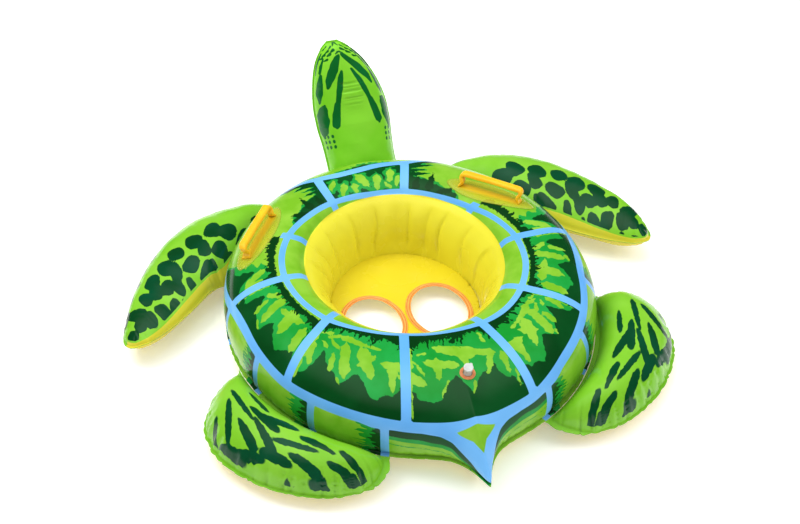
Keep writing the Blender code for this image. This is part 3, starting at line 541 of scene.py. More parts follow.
def ragged_strip(table, u, width, gap):
    """Depth share of a scute's dark inner strip, with brush-like teeth."""
    along = u * width
    teeth = np.abs(waves(along, 0 * u, 9, 17)) ** 1.5 + 0.6 * np.abs(waves(along, 0 * u, 4.5, 18)) ** 2
    return gap + (step_line(table, u) - gap) * 0.60 + 0.10 * teeth


def scute_shares(first, last, degrees, depth_share):
    """Share of the way from one radial line to the next, following both lines."""
    (a_in, a_out), (b_in, b_out) = RADIAL_LINES[first], RADIAL_LINES[last]
    if b_in < a_in:
        b_in, b_out = b_in + 360, b_out + 360
    from_line = a_in + (a_out - a_in) * depth_share
    to_line = b_in + (b_out - b_in) * depth_share
    turned = from_line + (degrees - from_line + 40) % 360 - 40
    return (turned - from_line) / (to_line - from_line), to_line - from_line


def ring_print(degrees, run, plan, metre_per_degree):
    """The print's fields on the deck; all arguments are arrays of one shape, lengths in millimetres."""
    inner, outer = around(INNER_LINE)(degrees), around(OUTER_LINE, 3.0)(degrees)
    x, y = plan[..., 0] * 1000, plan[..., 1] * 1000
    wander = 1.8 * waves(x, y, 17, 1) + 0.9 * waves(x, y, 8, 2)
    wander_run = run + 1.6 * waves(x, y, 15, 3) + 0.9 * waves(x, y, 7, 4)
    height = outer - inner
    v = (wander_run - inner) / height
    straight_v = (run - inner) / height
    mid = np.full(run.shape, NO_INK)
    lime = np.full(run.shape, NO_INK)
    ink = np.full(run.shape, NO_INK)
    edge = outer + around(OUTER_PUSH)(degrees)
    blue = np.maximum(INNER_HALF - np.abs(run - inner), OUTER_HALF - np.abs(run - edge))

    for first, last, scute, mirrored in SCUTES:
        u, span = scute_shares(first, last, degrees + wander / metre_per_degree, v)
        width = span * metre_per_degree
        u = 1 - u if mirrored else u
        here = (u > -0.05) & (u < 1.05) & (straight_v > 0) & (straight_v < 1)
        leaf = (step_line(scute["leaf"], u) - v) * height * 0.8
        brushed = ragged_strip(scute["strip"], u, width, scute["gap"])
        strip = np.minimum(brushed - v, v - scute["gap"]) * height
        drops = blobs(scute["lime"], u, v, width, height)
        rim = 2.2 + 1.2 * waves(x, y, 30, 9) - np.abs(u * width - RADIAL_HALF - 1)
        drops = np.maximum(drops, np.where(v > scute["gap"] + 0.2, rim, NO_INK))
        drops = np.maximum(drops, (scute["gap"] - v) * height)
        mid = np.where(here, leaf, mid)
        lime = np.where(here, drops, lime)
        ink = np.where(here, strip, ink)

    for first, last, mirrored in (("C", "D", False), ("I", "J", True)):
        u, span = scute_shares(first, last, degrees + wander / metre_per_degree, v)
        width = span * metre_per_degree
        u = 1 - u if mirrored else u
        here = (u > 0) & (u < 1.05) & (straight_v > 0)
        plain = (step_line(HANDLE_EDGE, v) - u) * width
        drops = np.maximum(plain, blobs(HANDLE_LIME, u, v, width, height))
        drops = np.maximum(drops, (HANDLE_GAP - v) * height)
        strip = np.minimum(ragged_strip(HANDLE_STRIP, u, width, HANDLE_GAP) - v, v - HANDLE_GAP) * height
        mid = np.where(here, np.maximum(blobs(HANDLE_LEAVES, u, v, width, height), plain + 4), mid)
        lime = np.where(here, drops, lime)
        ink = np.where(here, strip, ink)

    for first, last, mirrored in (("B", "C", False), ("J", "A", True)):
        u, span = scute_shares(first, last, degrees + wander / metre_per_degree, v)
        width = span * metre_per_degree
        u = 1 - u if mirrored else u
        here = (u > -0.05) & (u <= 1.02) & (straight_v > 0)
        flame = (u - step_line(FLAME_EDGE, v)) * width * 0.6
        spikes = blobs(FLAME_SPIKES, u, v, width, height)
        mid = np.where(here, flame + 4 + 4 * waves(x, y, 22, 5), mid)
        lime = np.where(here, np.minimum(flame, 3 - spikes), lime)
        ink = np.where(here, np.minimum(spikes, (0.62 - u) * width), ink)

    u, span = scute_shares("A", "B", degrees + wander / metre_per_degree, v)
    here = (u > -0.05) & (u < 1.05) & (straight_v > 0) & (straight_v < 1)
    drops = blobs(FRONT_LIME, u, v, span * metre_per_degree, height)
    mid = np.where(here, drops + 6 + 3 * waves(x, y, 20, 6), mid)
    lime = np.where(here, drops, lime)

    lime = np.maximum(lime, inner - run)
    side = run - edge
    lime, mid = side_print(degrees, side, metre_per_degree, x, y, lime, mid)

    for name, (at_inner, at_outer) in RADIAL_LINES.items():
        line = at_inner + (at_outer - at_inner) * np.clip(straight_v, -0.4, 1)
        across = np.abs((degrees - line + 180) % 360 - 180) * metre_per_degree
        radial = RADIAL_HALF - 1.4 * (straight_v < 0) - across
        stop = inner + SHORT_LINE_END - run if name in SHORT_LINES else edge - run
        blue = np.maximum(blue, np.minimum(radial, stop))
    for tick in SIDE_TICKS:
        across = np.abs((degrees - tick + 180) % 360 - 180) * metre_per_degree
        blue = np.maximum(blue, np.minimum(7.5 - across, side))
    tail = np.minimum(around(TAIL_EDGE, 0.7)(degrees) - side, side + OUTER_HALF)
    tail = np.where(np.abs(degrees - 270) < 34, tail, NO_INK)
    triangle = polygon(x, y - RING_Y * 1000, TAIL_TRIANGLE)
    blue = np.minimum(np.maximum(blue, tail), -triangle)
    lime = np.maximum(lime, triangle + 2)
    ink = np.where(side > 0, NO_INK, ink)
    return {"mid": mid, "lime": lime, "ink": ink, "blue": blue}


def side_print(degrees, side, metre_per_degree, x, y, lime, mid):
    """Below the outer line: cells that are lime at the end away from the tail and dark at the other, and
    long streaks along the tail's sides."""
    ticks = np.sort(np.array(SIDE_TICKS) % 360)
    turned = degrees % 360
    index = np.searchsorted(ticks, turned) - 1
    start = ticks[index]
    end = ticks[(index + 1) % len(ticks)]
    span = (end - start) % 360
    share = ((turned - start) % 360) / span
    share = np.where((turned > 90) & (turned < 270), share, 1 - share)
    comb = 0.11 * waves(side * 2.4, degrees * 1.5, 16, 7) + 0.05 * waves(side * 3.1, degrees, 7, 8)
    cell_lime = (0.70 + comb - share) * span * metre_per_degree
    cell_mid = (0.84 + comb * 0.8 - share) * span * metre_per_degree
    near_tail = (turned > 245.3) & (turned < 295.8)
    below = side - around(TAIL_EDGE, 0.7)(degrees)
    streak = 2.2 * waves(degrees * 2.2, side * 0.6, 34, 11)
    thin = 1.3 - np.abs(below - 32 + streak)
    tail_lime = np.minimum(below - 22 + streak, -thin)
    tail_mid = below - 14 + streak * 1.4
    cell_lime = np.where(near_tail, tail_lime, cell_lime)
    cell_mid = np.where(near_tail, tail_mid, cell_mid)
    patch = np.abs((degrees - 90 + 180) % 360 - 180)
    front_dark = 8 - 0.9 * patch / 1.4 + 3 * waves(x, y, 14, 12) - 0.5 * np.abs(side - 10)
    front = patch < 20
    cell_lime = np.where(front, -front_dark, cell_lime)
    cell_mid = np.where(front, 3 - front_dark, cell_mid)
    outside = side > 0
    return np.where(outside, cell_lime, lime), np.where(outside, cell_mid, mid)


def make_ring():
    angles = ring_angles(600)
    sections, lengths = ring_sections(angles)
    outer, outward, _, _ = station(angles)
    out, height = sections[..., 0].copy(), sections[..., 1].copy()
    rows, columns = out.shape
    degrees = np.degrees(angles) % 360
    arc = np.cumsum(np.linalg.norm(np.diff(outer, axis=0, append=outer[:1]), axis=1))[:, None]

    # Folds gathered by the outer weld, strongest just above and below it.
    seam_at = np.abs(height - SEAM_Z)
    clear = 1 - smooth_step(tail_reach(angles), 0.008, 0.03)[:, None]
    gather = creases(arc / 0.021, 3.0) * np.exp(-(((seam_at - 0.012) / 0.013) ** 2)) * clear
    lip = np.arange(columns)[None, :]
    outside = (lip < DECK_COUNT + BELLY_COUNT // 2) & (out > -0.08)
    out = out - np.where(outside, 0.0030 * gather, 0.0)

    # Upright folds in the well's wall, deep in the middle and gone at the weld above and the floor below.
    wall_start = DECK_COUNT + BELLY_COUNT
    rise = np.clip((height - 0.022) / (WELL_EDGE_Z - 0.022), 0, 1)
    wall = (lip >= wall_start).astype(float)
    bump = smooth_step(rise, 0.03, 0.35) * (1 - smooth_step(rise, 0.74, 0.97))
    folds = creases(degrees[:, None] / 18.5 + 0.2 * waves(rise * 40, degrees[:, None], 60, 14), 1.2)
    swell_out = 0.0016 * waves(degrees[:, None], rise * 30, 44, 13)
    out = out + wall * bump * (0.0068 * folds**1.2 - swell_out)

    plan = outer[:, None, :] + outward[:, None, :] * out[..., None]
    points = np.concatenate((plan, height[..., None]), -1)
    # The deck isn't quite even: broad shallow swells, more of them near the outer weld.
    deck = (lip < DECK_COUNT - 2) & (height > 0.06)
    swells = 0.0009 * waves(plan[..., 0] * 1000, plan[..., 1] * 1000, 120, 15)
    points[..., 2] += np.where(deck, swells * smooth_step(-out, 0.0, 0.05), 0.0)

    run = np.zeros((rows, columns))
    run[:, : DECK_COUNT - 2] = np.linspace(0, 1, DECK_COUNT - 2)[None, :] * lengths[:, None] * 1000
    run[:, DECK_COUNT - 2 :] = (lengths * 1000)[:, None] + 8
    turn_length = np.linalg.norm(np.gradient(plan, axis=0), axis=-1)
    turn_step = np.gradient(np.unwrap(angles))[:, None]
    metre_per_degree = np.maximum(turn_length / np.degrees(turn_step) * 1000, 0.4)
    metre_per_degree = np.where(metre_per_degree > 12, 12, metre_per_degree)
    fields = ring_print(np.repeat(degrees[:, None], columns, 1), run, plan, metre_per_degree)
    faces = grid_faces(rows, columns, True, True)
    column_of = faces[:, 0] % columns
    # Slot 2, the well's wall, takes the yellow film lightened with painted light.
    slots = np.where(column_of < DECK_COUNT + 3, 0, np.where(column_of < wall_start, 1, 2))
    flat = {name: values.reshape(-1) for name, values in fields.items()}
    ring = mesh_object(
        "ring_chamber", points.reshape(-1, 3), faces, [ring_ink(), film_yellow(), wall_yellow_painted_light()], flat, slots
    )
    face_outward(ring)
    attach(ring, "float_body")
    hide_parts("ring_top_panel", "ring_bottom_panel", "seat_well_wall")
    return ring


# --- Flippers -------------------------------------------------------------------------------------------
def swell(share, edge, margin):
    inside = (share - margin) / (1 - 2 * margin)
    from_edge = np.clip(np.minimum(inside, 1 - inside) / edge, 0, 1)
    return np.sqrt(1 - (1 - from_edge) ** 2)


def root_point(degrees):
    outer, outward, _, _ = station(np.radians(degrees))
    return outer + outward * ROOT_OUT


def from_ring(points):
    return [(x, y + RING_Y) for x, y in points]


def flipper_plan(shape, along, across):
    """Plan points of a flipper patch at shares along its length and across its width, on the +X side."""
    first, last = shape["root"]
    root = root_point(first + (last - first) * across)
    leading = [tuple(root_point(first))] + from_ring(shape["leading"])
    trailing = [tuple(root_point(last))] + from_ring(shape["trailing"])
    tip = [leading[-1]] + from_ring(shape["tip"]) + [trailing[-1]]
    al, ac = along[..., None], across[..., None]
    sides = curve(leading, along) * (1 - ac) + curve(trailing, along) * ac
    ends = root * (1 - al) + curve(tip, across) * al
    corners = (leading[0], trailing[0], tip[0], tip[-1])
    first_root, last_root, first_tip, last_tip = (np.array(p) for p in corners)
    corners = (first_root * (1 - ac) + last_root * ac) * (1 - al)
    corners = corners + (first_tip * (1 - ac) + last_tip * ac) * al
    return sides + ends - corners


UNDERSIDE = {-1: (0.025, 0.005), 1: (0.029, 0.005)}  # the weld's height behind a front flipper, root and tip
# The spots stand in staggered columns: columns along a flipper, spots in each, and the seed of their
# unevenness.
SPOT_LAYOUT = {"front": (10, 4, 11), "rear": (7, 4, 12)}
SPOTS_ALONG = (0.10, 0.97)  # where the columns begin and end, as shares of the flipper's length
SPOTS_ACROSS = (0.13, 0.97)  # where each column begins and ends, as shares of its width
SPOT_FILL = (0.46, 0.36)  # half a spot's length and width, as shares of the room that it has
SPOT_UNEVEN = (0.16, 0.22, 20)  # how far places, sizes and directions (degrees) stray
SPOT_EDGE = 0.013  # spots on the rear flippers end at this height above the weld, except near the root


def spot_field(spots, x, y):
    """Depth inside rounded, slightly angular spots."""
    x = x + 0.9 * waves(x, y, 15, 21)
    y = y + 0.9 * waves(x, y, 14, 22)
    depth = np.full(x.shape, NO_INK)
    for sx, sy, long, wide, degrees, taper in spots:
        c, s = math.cos(math.radians(degrees)), math.sin(math.radians(degrees))
        a = ((x - sx) * c + (y - sy) * s) / long
        b = ((y - sy) * c - (x - sx) * s) / wide
        b = b / np.clip(1 - taper * a, 0.15, 2)
        reach = (np.abs(a) ** 2.5 + np.abs(b) ** 2.5) ** (1 / 2.5)
        depth = np.maximum(depth, (1 - reach) * min(long, wide * 1.2))
    return depth


def scattered_spots(shape, place):
    """Long spots across the flipper, as big as the room that each column leaves them."""
    columns, rows, seed = SPOT_LAYOUT[place]
    draw = np.random.default_rng(seed)
    pitch_along = (SPOTS_ALONG[1] - SPOTS_ALONG[0]) / columns
    pitch_across = (SPOTS_ACROSS[1] - SPOTS_ACROSS[0]) / rows
    spots = []
    for column in range(columns):
        for row in range(rows):
            nudge = draw.uniform(-1, 1, 6)
            share = SPOTS_ALONG[0] + pitch_along * (column + 0.5 + SPOT_UNEVEN[0] * nudge[0])
            stagger = 0.25 + 0.5 * (column % 2)
            across = SPOTS_ACROSS[0] + pitch_across * (row + stagger + SPOT_UNEVEN[0] * nudge[1])
            alongs = share + pitch_along * np.array([-0.5, 0.5, 0, 0, 0])
            acrosses = across + pitch_across * np.array([0, 0, -0.5, 0.5, 0])
            line = flipper_plan(shape, np.clip(alongs, 0, 1), np.clip(acrosses, 0, 1)) * 1000
            over = line[3] - line[2]
            long = SPOT_FILL[0] * np.linalg.norm(over) * (1 + SPOT_UNEVEN[1] * nudge[2])
            wide = SPOT_FILL[1] * np.linalg.norm(line[1] - line[0]) * (1 + SPOT_UNEVEN[1] * nudge[3])
            turn = math.degrees(math.atan2(over[1], over[0])) + SPOT_UNEVEN[2] * nudge[4]
            spots.append((line[4][0], line[4][1], long, wide, turn, 0.3 * nudge[5]))
    return spots


def leading_spots(shape):
    """A row of long spots right along the leading edge."""
    spots = []
    for k, share in enumerate(np.arange(0.10, 0.97, 0.079)):
        alongs = share + np.array([-0.01, 0.0, 0.01])
        line = flipper_plan(shape, alongs, np.full(3, 0.055 + 0.02 * (k % 2)))
        step = line[2] - line[0]
        x, y = line[1] * 1000
        turn = math.degrees(math.atan2(step[1], step[0]))
        spots.append((x, y - RING_Y * 1000, 15 + 3 * (k % 3), 8 + (k % 2), turn, 0.2 - 0.2 * (k % 3)))
    return spots


def outline_distance(plan, rim):
    """Distance from every point to a rim polyline, and how far along the rim the nearest point is."""
    marks = np.concatenate(([0.0], np.cumsum(np.linalg.norm(np.diff(rim, axis=0), axis=1))))
    flat = plan.reshape(-1, 2)
    away, along = np.full(len(flat), 1e9), np.zeros(len(flat))
    for i, (a, b) in enumerate(zip(rim, rim[1:])):
        step = b - a
        share = np.clip(((flat - a) @ step) / max(step @ step, 1e-12), 0, 1)
        distance = np.linalg.norm(flat - a - share[:, None] * step, axis=1)
        closer = distance < away
        away = np.where(closer, distance, away)
        along = np.where(closer, marks[i] + share * (marks[i + 1] - marks[i]), along)
    return away.reshape(plan.shape[:2]), along.reshape(plan.shape[:2])


def packed_shares(count, packing):
    """Shares from 0 to 1 that are closer together at both ends."""
    even = np.linspace(0, 1, count)
    return even * (1 - packing) + (1 - np.cos(np.pi * even)) / 2 * packing


def make_flipper(place, shape, side, word, rows, columns):
    rear = shape is REAR_FLIPPER
    along = packed_shares(rows, 0.55)
    across = packed_shares(columns, 0.6)
    al, ac = np.meshgrid(along, across, indexing="ij")
    plan = flipper_plan(shape, al, ac)
    rim = np.vstack((plan[:, 0], plan[-1, 1:], plan[::-1, -1][1:]))
    away, on_rim = outline_distance(plan, rim[::3])
    fold_pitch, fold_depth, fold_reach = (0.0255, 0.0062, 0.0135) if rear else (0.017, 0.0034, 0.030)
    folds = creases(on_rim / fold_pitch, 5.0 if rear else 2.0)
    strength = np.exp(-(((away - fold_reach * 0.62) / fold_reach) ** 2)) * smooth_step(al, 0.02, 0.10)
    if not rear:  # the front flippers gather only near the root behind, and at the tip
        behind_root = smooth_step(0.30 - al, 0, 0.15) * (ac > 0.5)
        strength *= np.clip(behind_root + smooth_step(al, 0.90, 0.97), 0.12, 1)
    scallop = folds * np.exp(-((away / 0.010) ** 2)) * strength / max(1e-6, strength.max())
    middle = plan.mean((0, 1))
    inward = middle - plan
    inward /= np.linalg.norm(inward, axis=-1, keepdims=True)
    plan = plan + inward * (0.0056 if rear else 0.0010) * scallop[..., None]

    first, last = shape["seam"]
    seam = first + (last - first) * al
    inside = (al - shape["root_margin"]) / (1 - shape["root_margin"] - shape["tip_margin"])
    flange = FLIPPER_FLANGE if rear else 0.015
    lift = swell(inside, shape["swell_along"], 0.0) * swell(ac, shape["swell_across"], flange)
    # The weld rides up behind the front flippers, which shows the yellow underside there.
    shown = (0.0 if rear else 0.011) * smooth_step(ac, 0.45, 0.97) * smooth_step(al, 0.04, 0.25)
    higher = not rear and side > 0
    stands = RIGHT_FRONT_LIFT * np.sin(np.pi / 2 * np.minimum(1, al / 0.35)) ** 2 * (1 - ac)
    seam = seam + shown + higher * stands
    layers, lifts = [], []
    under = np.full(al.shape, NO_INK)
    x_mm, y_mm = plan[..., 0] * 1000, (plan[..., 1] - RING_Y) * 1000
    for up, depths, thick in ((1, shape["rise"], FILM), (-1, shape["sink"], FILM)):
        depth = depths[0] + (depths[1] - depths[0]) * al - up * shown
        depth = depth + (RIGHT_FRONT_EXTRA if higher and up > 0 else 0.0)
        height = depth * lift
        lifts.append(height)
        if up > 0 and not rear:
            low, high = UNDERSIDE[side][1], UNDERSIDE[side][0]
            limit = low + (high - low) * (1 - al) ** 0.9
            under = np.where(ac > 0.5, (limit - height) * 1000, NO_INK)
        height = height * (1 - 0.10 * folds * strength * smooth_step(height, 0, 0.02))
        height = height - fold_depth * folds * strength * smooth_step(height, 0.002, 0.014)
        uneven = 0.0010 * waves(x_mm, y_mm, 70, 30 + up) * smooth_step(height, 0.006, 0.03)
        skin = GAP / 2 + height + uneven + thick * smooth_step(height, -0.0005, 0.004)
        skin = np.where(height < 0.0004, FLIPPER_WELD_HALF, skin)
        if up > 0 and not rear:
            skin = skin + 0.0007 * np.exp(-((under / 1.3) ** 2))
        layers.append(np.maximum(seam + up * skin, 0.0))
    upper, lower = (np.concatenate((plan, layer[..., None]), -1) for layer in layers)

    top = upper.reshape(-1, 3)
    low = lower.reshape(-1, 3)
    count = rows * columns
    faces, strip_count = two_skin_faces(rows, columns)
    slots = np.concatenate((np.zeros((rows - 1) * (columns - 1)), np.ones((rows - 1) * (columns - 1))))
    slots = np.concatenate((slots, np.zeros(strip_count)))
    points = np.vstack((top, low))
    if rear:
        spots = spot_field(scattered_spots(shape, place), x_mm, y_mm)
        limit = SPOT_EDGE + 0.0022 * waves(x_mm, y_mm, 9, 23) - 0.03 * (1 - smooth_step(al, 0.1, 0.22))
        spots = np.minimum(spots, (lifts[0] - limit) * 900)
    else:
        spots = spot_field(scattered_spots(shape, place) + leading_spots(shape), x_mm, y_mm)
        spots = np.minimum(spots, -under - 3.0)
    spots = np.concatenate((spots.reshape(-1), np.full(count, NO_INK)))
    under = np.concatenate((under.reshape(-1), np.full(count, NO_INK)))
    at_leading, at_trailing = FLIPPER_DRIFT[place, side]
    points[:, 0] *= side
    for axis in (0, 1):
        drift = (at_leading[axis] * (1 - ac) + at_trailing[axis] * ac) * np.sin(np.pi / 2 * al)
        points[:, axis] += np.tile(drift.reshape(-1), 2)
    name = f"{place}_flipper_{word}"
    made = mesh_object(
        f"{name}_chamber",
        points,
        faces,
        [flipper_ink(), film_yellow()],
        {"spots": spots, "under": under},
        slots,
    )
    face_outward(made)
    hinge = next(j for j in frame["joints"] if j["child"] == name)
    axis = Vector(hinge["axis"])
    outward = Vector((0, 0, 1)).cross(axis)
    if outward.x * side < 0:
        outward = -outward
    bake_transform(made)
    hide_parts(f"{name}_upper", f"{name}_lower")
    return made


# --- Head -----------------------------------------------------------------------------------------------
# The print on the head: (share of the head's line, degrees from the middle of the back), mirrored.
HEAD_STROKES = [
    [(0.925, 9, 4), (0.89, 20, 7), (0.83, 32, 9), (0.77, 41, 8.5), (0.72, 45, 3)],
    [(0.83, 12, 2.5), (0.78, 17, 5), (0.70, 23, 5.5), (0.63, 27, 4.5)],
    [(0.615, 29, 6), (0.55, 33, 8), (0.48, 37, 8.5), (0.455, 37, 3)],
    [(0.80, 64, 4), (0.75, 66, 9), (0.69, 68, 12), (0.64, 66, 4)],
    [(0.61, 54, 3), (0.58, 59, 12), (0.52, 65, 20), (0.46, 70, 17), (0.41, 71, 5)],
    [(0.90, 62, 2), (0.86, 66, 4.5), (0.82, 68, 4)],
    [(0.93, 82, 2), (0.90, 86, 4), (0.84, 88, 4), (0.80, 86, 2)],
]
HEAD_DOTS = [(0.405 - 0.034 * k, 50 + 11 * j) for j in range(3) for k in range(3)]
HEAD_DASHES = [(0.957, 24, 2.8), (0.952, 50, 2.4), (0.973, 36, 1.7), (0.973, 68, 1.5), (0.986, 12, 1.5)]
HEAD_DASHES += [(0.935, 40, 3), (0.930, 64, 3), (0.958, 80, 1.8)]
HEAD_DASHES += [(0.905, 50, 2.6), (0.910, 72, 2.6), (0.945, 8, 1.8)]
HEAD_PRINT_MIDDLE = (1.0, 6.0)  # degrees that the print is off the middle, at the neck and at the crown
FACE_EYE = (0.70, 62.0)  # on the front skin, from its middle: a generic printed eye
FACE_MOUTH = [(0.60, 0), (0.61, 24), (0.64, 46), (0.68, 60)]


def head_skin(share, up):
    """Points of one side of the head at shares of its line and turns from flange to flange."""
    table = np.array(HEAD_STATIONS)
    half = curve_value(table[:, 0], table[:, 1], share)
    depth = curve_value(table[:, 0], table[:, 2 if up > 0 else 3], share)
    here = curve(HEAD_LINE, share)
    ahead = curve(HEAD_LINE, np.minimum(1, share + 0.02)) - curve(HEAD_LINE, np.maximum(0, share - 0.02))
    ahead /= np.linalg.norm(ahead, axis=1, keepdims=True)
    back = np.stack((-ahead[:, 1], ahead[:, 0]), -1) * up
    return half, np.maximum(depth, 0.0), here, back


def curve_value(keys, values, at):
    """Smooth interpolation of a table, without overshoot."""
    slopes = np.gradient(values, keys)
    i = np.clip(np.searchsorted(keys, at, side="right") - 1, 0, len(keys) - 2)
    width = keys[i + 1] - keys[i]
    u = np.clip((at - keys[i]) / width, 0, 1)
    low, high = np.minimum(values[i], values[i + 1]), np.maximum(values[i], values[i + 1])
    value = values[i] * (2 * u**3 - 3 * u**2 + 1) + values[i + 1] * (3 * u**2 - 2 * u**3)
    value += width * (slopes[i] * (u**3 - 2 * u**2 + u) + slopes[i + 1] * (u**3 - u**2))
    return np.clip(value, low, high)


def stroke_field(strokes, share, degrees, line_mm, degree_mm):
    depth = np.full(share.shape, NO_INK)
    for stroke in strokes:
        for (s0, d0, r0), (s1, d1, r1) in zip(stroke, stroke[1:]):
            inside = capsule(
                0.0,
                0.0,
                (s0 - share) * line_mm,
                (d0 - degrees) * degree_mm,
                (s1 - share) * line_mm,
                (d1 - degrees) * degree_mm,
                r0,
                r1,
            )
            depth = np.maximum(depth, inside)
    return depth


def make_head():
    rows, columns = 190, 92
    share = packed_shares(rows, 0.25)
    lip = 3
    turn = packed_shares(columns - 2 * lip, 0.35) * np.pi
    line_mm = np.linalg.norm(np.diff(np.array(HEAD_LINE), axis=0), axis=1).sum() * 1000
    layers, fields, whites = [], [], []
    for up in (1, -1):
        half, depth, here, back = head_skin(share, up)
        shape = np.sin(turn) ** 0.9
        cross = -np.cos(turn)
        offs = np.concatenate((np.zeros(lip), shape, np.zeros(lip)))
        x = half[:, None] * cross[None, :]
        edges = np.linspace(1, 0, lip, endpoint=False)
        left = -half[:, None] - HEAD_FLANGE * edges[None, :]
        right = half[:, None] + HEAD_FLANGE * edges[None, ::-1]
        x = np.concatenate((left, x, right), 1)
        degrees = np.concatenate((np.full(lip, -90.0), np.degrees(turn) - 90, np.full(lip, 90.0)))
        degree_grid = np.repeat(degrees[None, :], rows, 0)
        share_grid = np.repeat(share[:, None], columns, 1)
        height = depth[:, None] * offs[None, :]
        at_neck, at_crown = HEAD_PRINT_MIDDLE
        middle = at_neck + (at_crown - at_neck) * smooth_step(share_grid, 0.45, 0.85)
        # Folds across the nape, and gathers along the weld down each side.
        if up > 0:
            nape = np.exp(-(((share_grid - 0.68) / 0.085) ** 4))
            reach = 26 - 60 * (0.80 - share_grid)
            nape *= 1 - smooth_step(np.abs(degree_grid - middle), reach * 0.55, reach * 1.25)
            height -= 0.0034 * creases(share_grid * line_mm / 9.8, 4.0) * nape
            height += 0.0008 * nape
        near_weld = np.exp(-(((np.abs(degree_grid) - 80) / 14) ** 2)) * smooth_step(share_grid, 0.06, 0.12)
        height *= 1 - 0.10 * near_weld * creases(share_grid * line_mm / 17.0, 6.0)
        uneven = 0.0008 * waves(share_grid * 340, degree_grid, 60, 40 + up)
        height += uneven * smooth_step(height, 0.004, 0.02)
        skin = GAP / 2 + height + FILM * smooth_step(height, -0.0005, 0.004)
        skin = np.where(height < 0.0003, HEAD_WELD_HALF, skin)
        weld = np.full((rows, lip), HEAD_WELD_HALF)
        skin = np.concatenate((weld, skin[:, lip:-lip], weld), 1)
        yz = here[:, None, :] + back[:, None, :] * skin[..., None]
        x = x + (HEAD_ROOT_X + (HEAD_TIP_X - HEAD_ROOT_X) * share**3)[:, None]
        fade = np.maximum(0, 1 - share / 0.25)[:, None]
        curve_back = RING_HALF_LENGTH * (1 - np.sqrt(1 - (x / RING_HALF_WIDTH) ** 2)) * fade
        layers.append(np.stack((x, yz[..., 0] - curve_back + RING_Y, yz[..., 1]), -1).reshape(-1, 3))

        degree_mm = (np.pi * np.sqrt((half**2 + depth**2) / 2) / 180 * 1000)[:, None]
        degree_mm = np.maximum(degree_mm, 0.2)
        wander = 2.0 * waves(share_grid * line_mm, degree_grid, 26, 50)
        about = np.abs(degree_grid - (middle if up > 0 else 0))
        wavy = share_grid + wander / line_mm
        if up > 0:
            depth_in = stroke_field(HEAD_STROKES, wavy, about, line_mm, degree_mm)
        else:
            side_patches = [[(s, 180 - d, r) for s, d, r in stroke] for stroke in HEAD_STROKES[3:]]
            mouth = [[(s, d, 2.2) for s, d in FACE_MOUTH]]
            eye = [[(FACE_EYE[0], FACE_EYE[1], 10.0), (FACE_EYE[0] + 0.012, FACE_EYE[1] - 3, 11.0)]]
            depth_in = stroke_field(side_patches + mouth + eye, wavy, about, line_mm, degree_mm)
        for s, d in HEAD_DOTS:
            dot = 3.4 - np.hypot((share_grid - s) * line_mm * 0.8, (about - d) * degree_mm)
            depth_in = np.maximum(depth_in, dot if up > 0 else NO_INK)
        for s, d, r in HEAD_DASHES:
            flat = capsule(
                0.0,
                0.0,
                (s - share_grid) * line_mm,
                (d - 5 - about) * degree_mm,
                (s - 0.010 - share_grid) * line_mm,
                (d + 6 - about) * degree_mm,
                r,
                r * 0.6,
            )
            depth_in = np.maximum(depth_in, flat)
        white = np.full(share_grid.shape, NO_INK)
        if up < 0:
            for s, d, r in ((0.712, -7.0, 3.2), (0.690, 5.0, 1.6)):
                glint = r - np.hypot((share_grid - s) * line_mm, (about - FACE_EYE[1] - d) * degree_mm)
                white = np.maximum(white, glint)
        fields.append(depth_in.reshape(-1))
        whites.append(white.reshape(-1))

    faces, _ = two_skin_faces(rows, columns)
    made = mesh_object(
        "head_chamber",
        np.vstack(layers),
        faces,
        [head_ink()],
        {"spots": np.concatenate(fields), "glint": np.concatenate(whites)},
    )
    face_outward(made)
    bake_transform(made)
    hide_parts("head_upper", "head_lower")
    return made


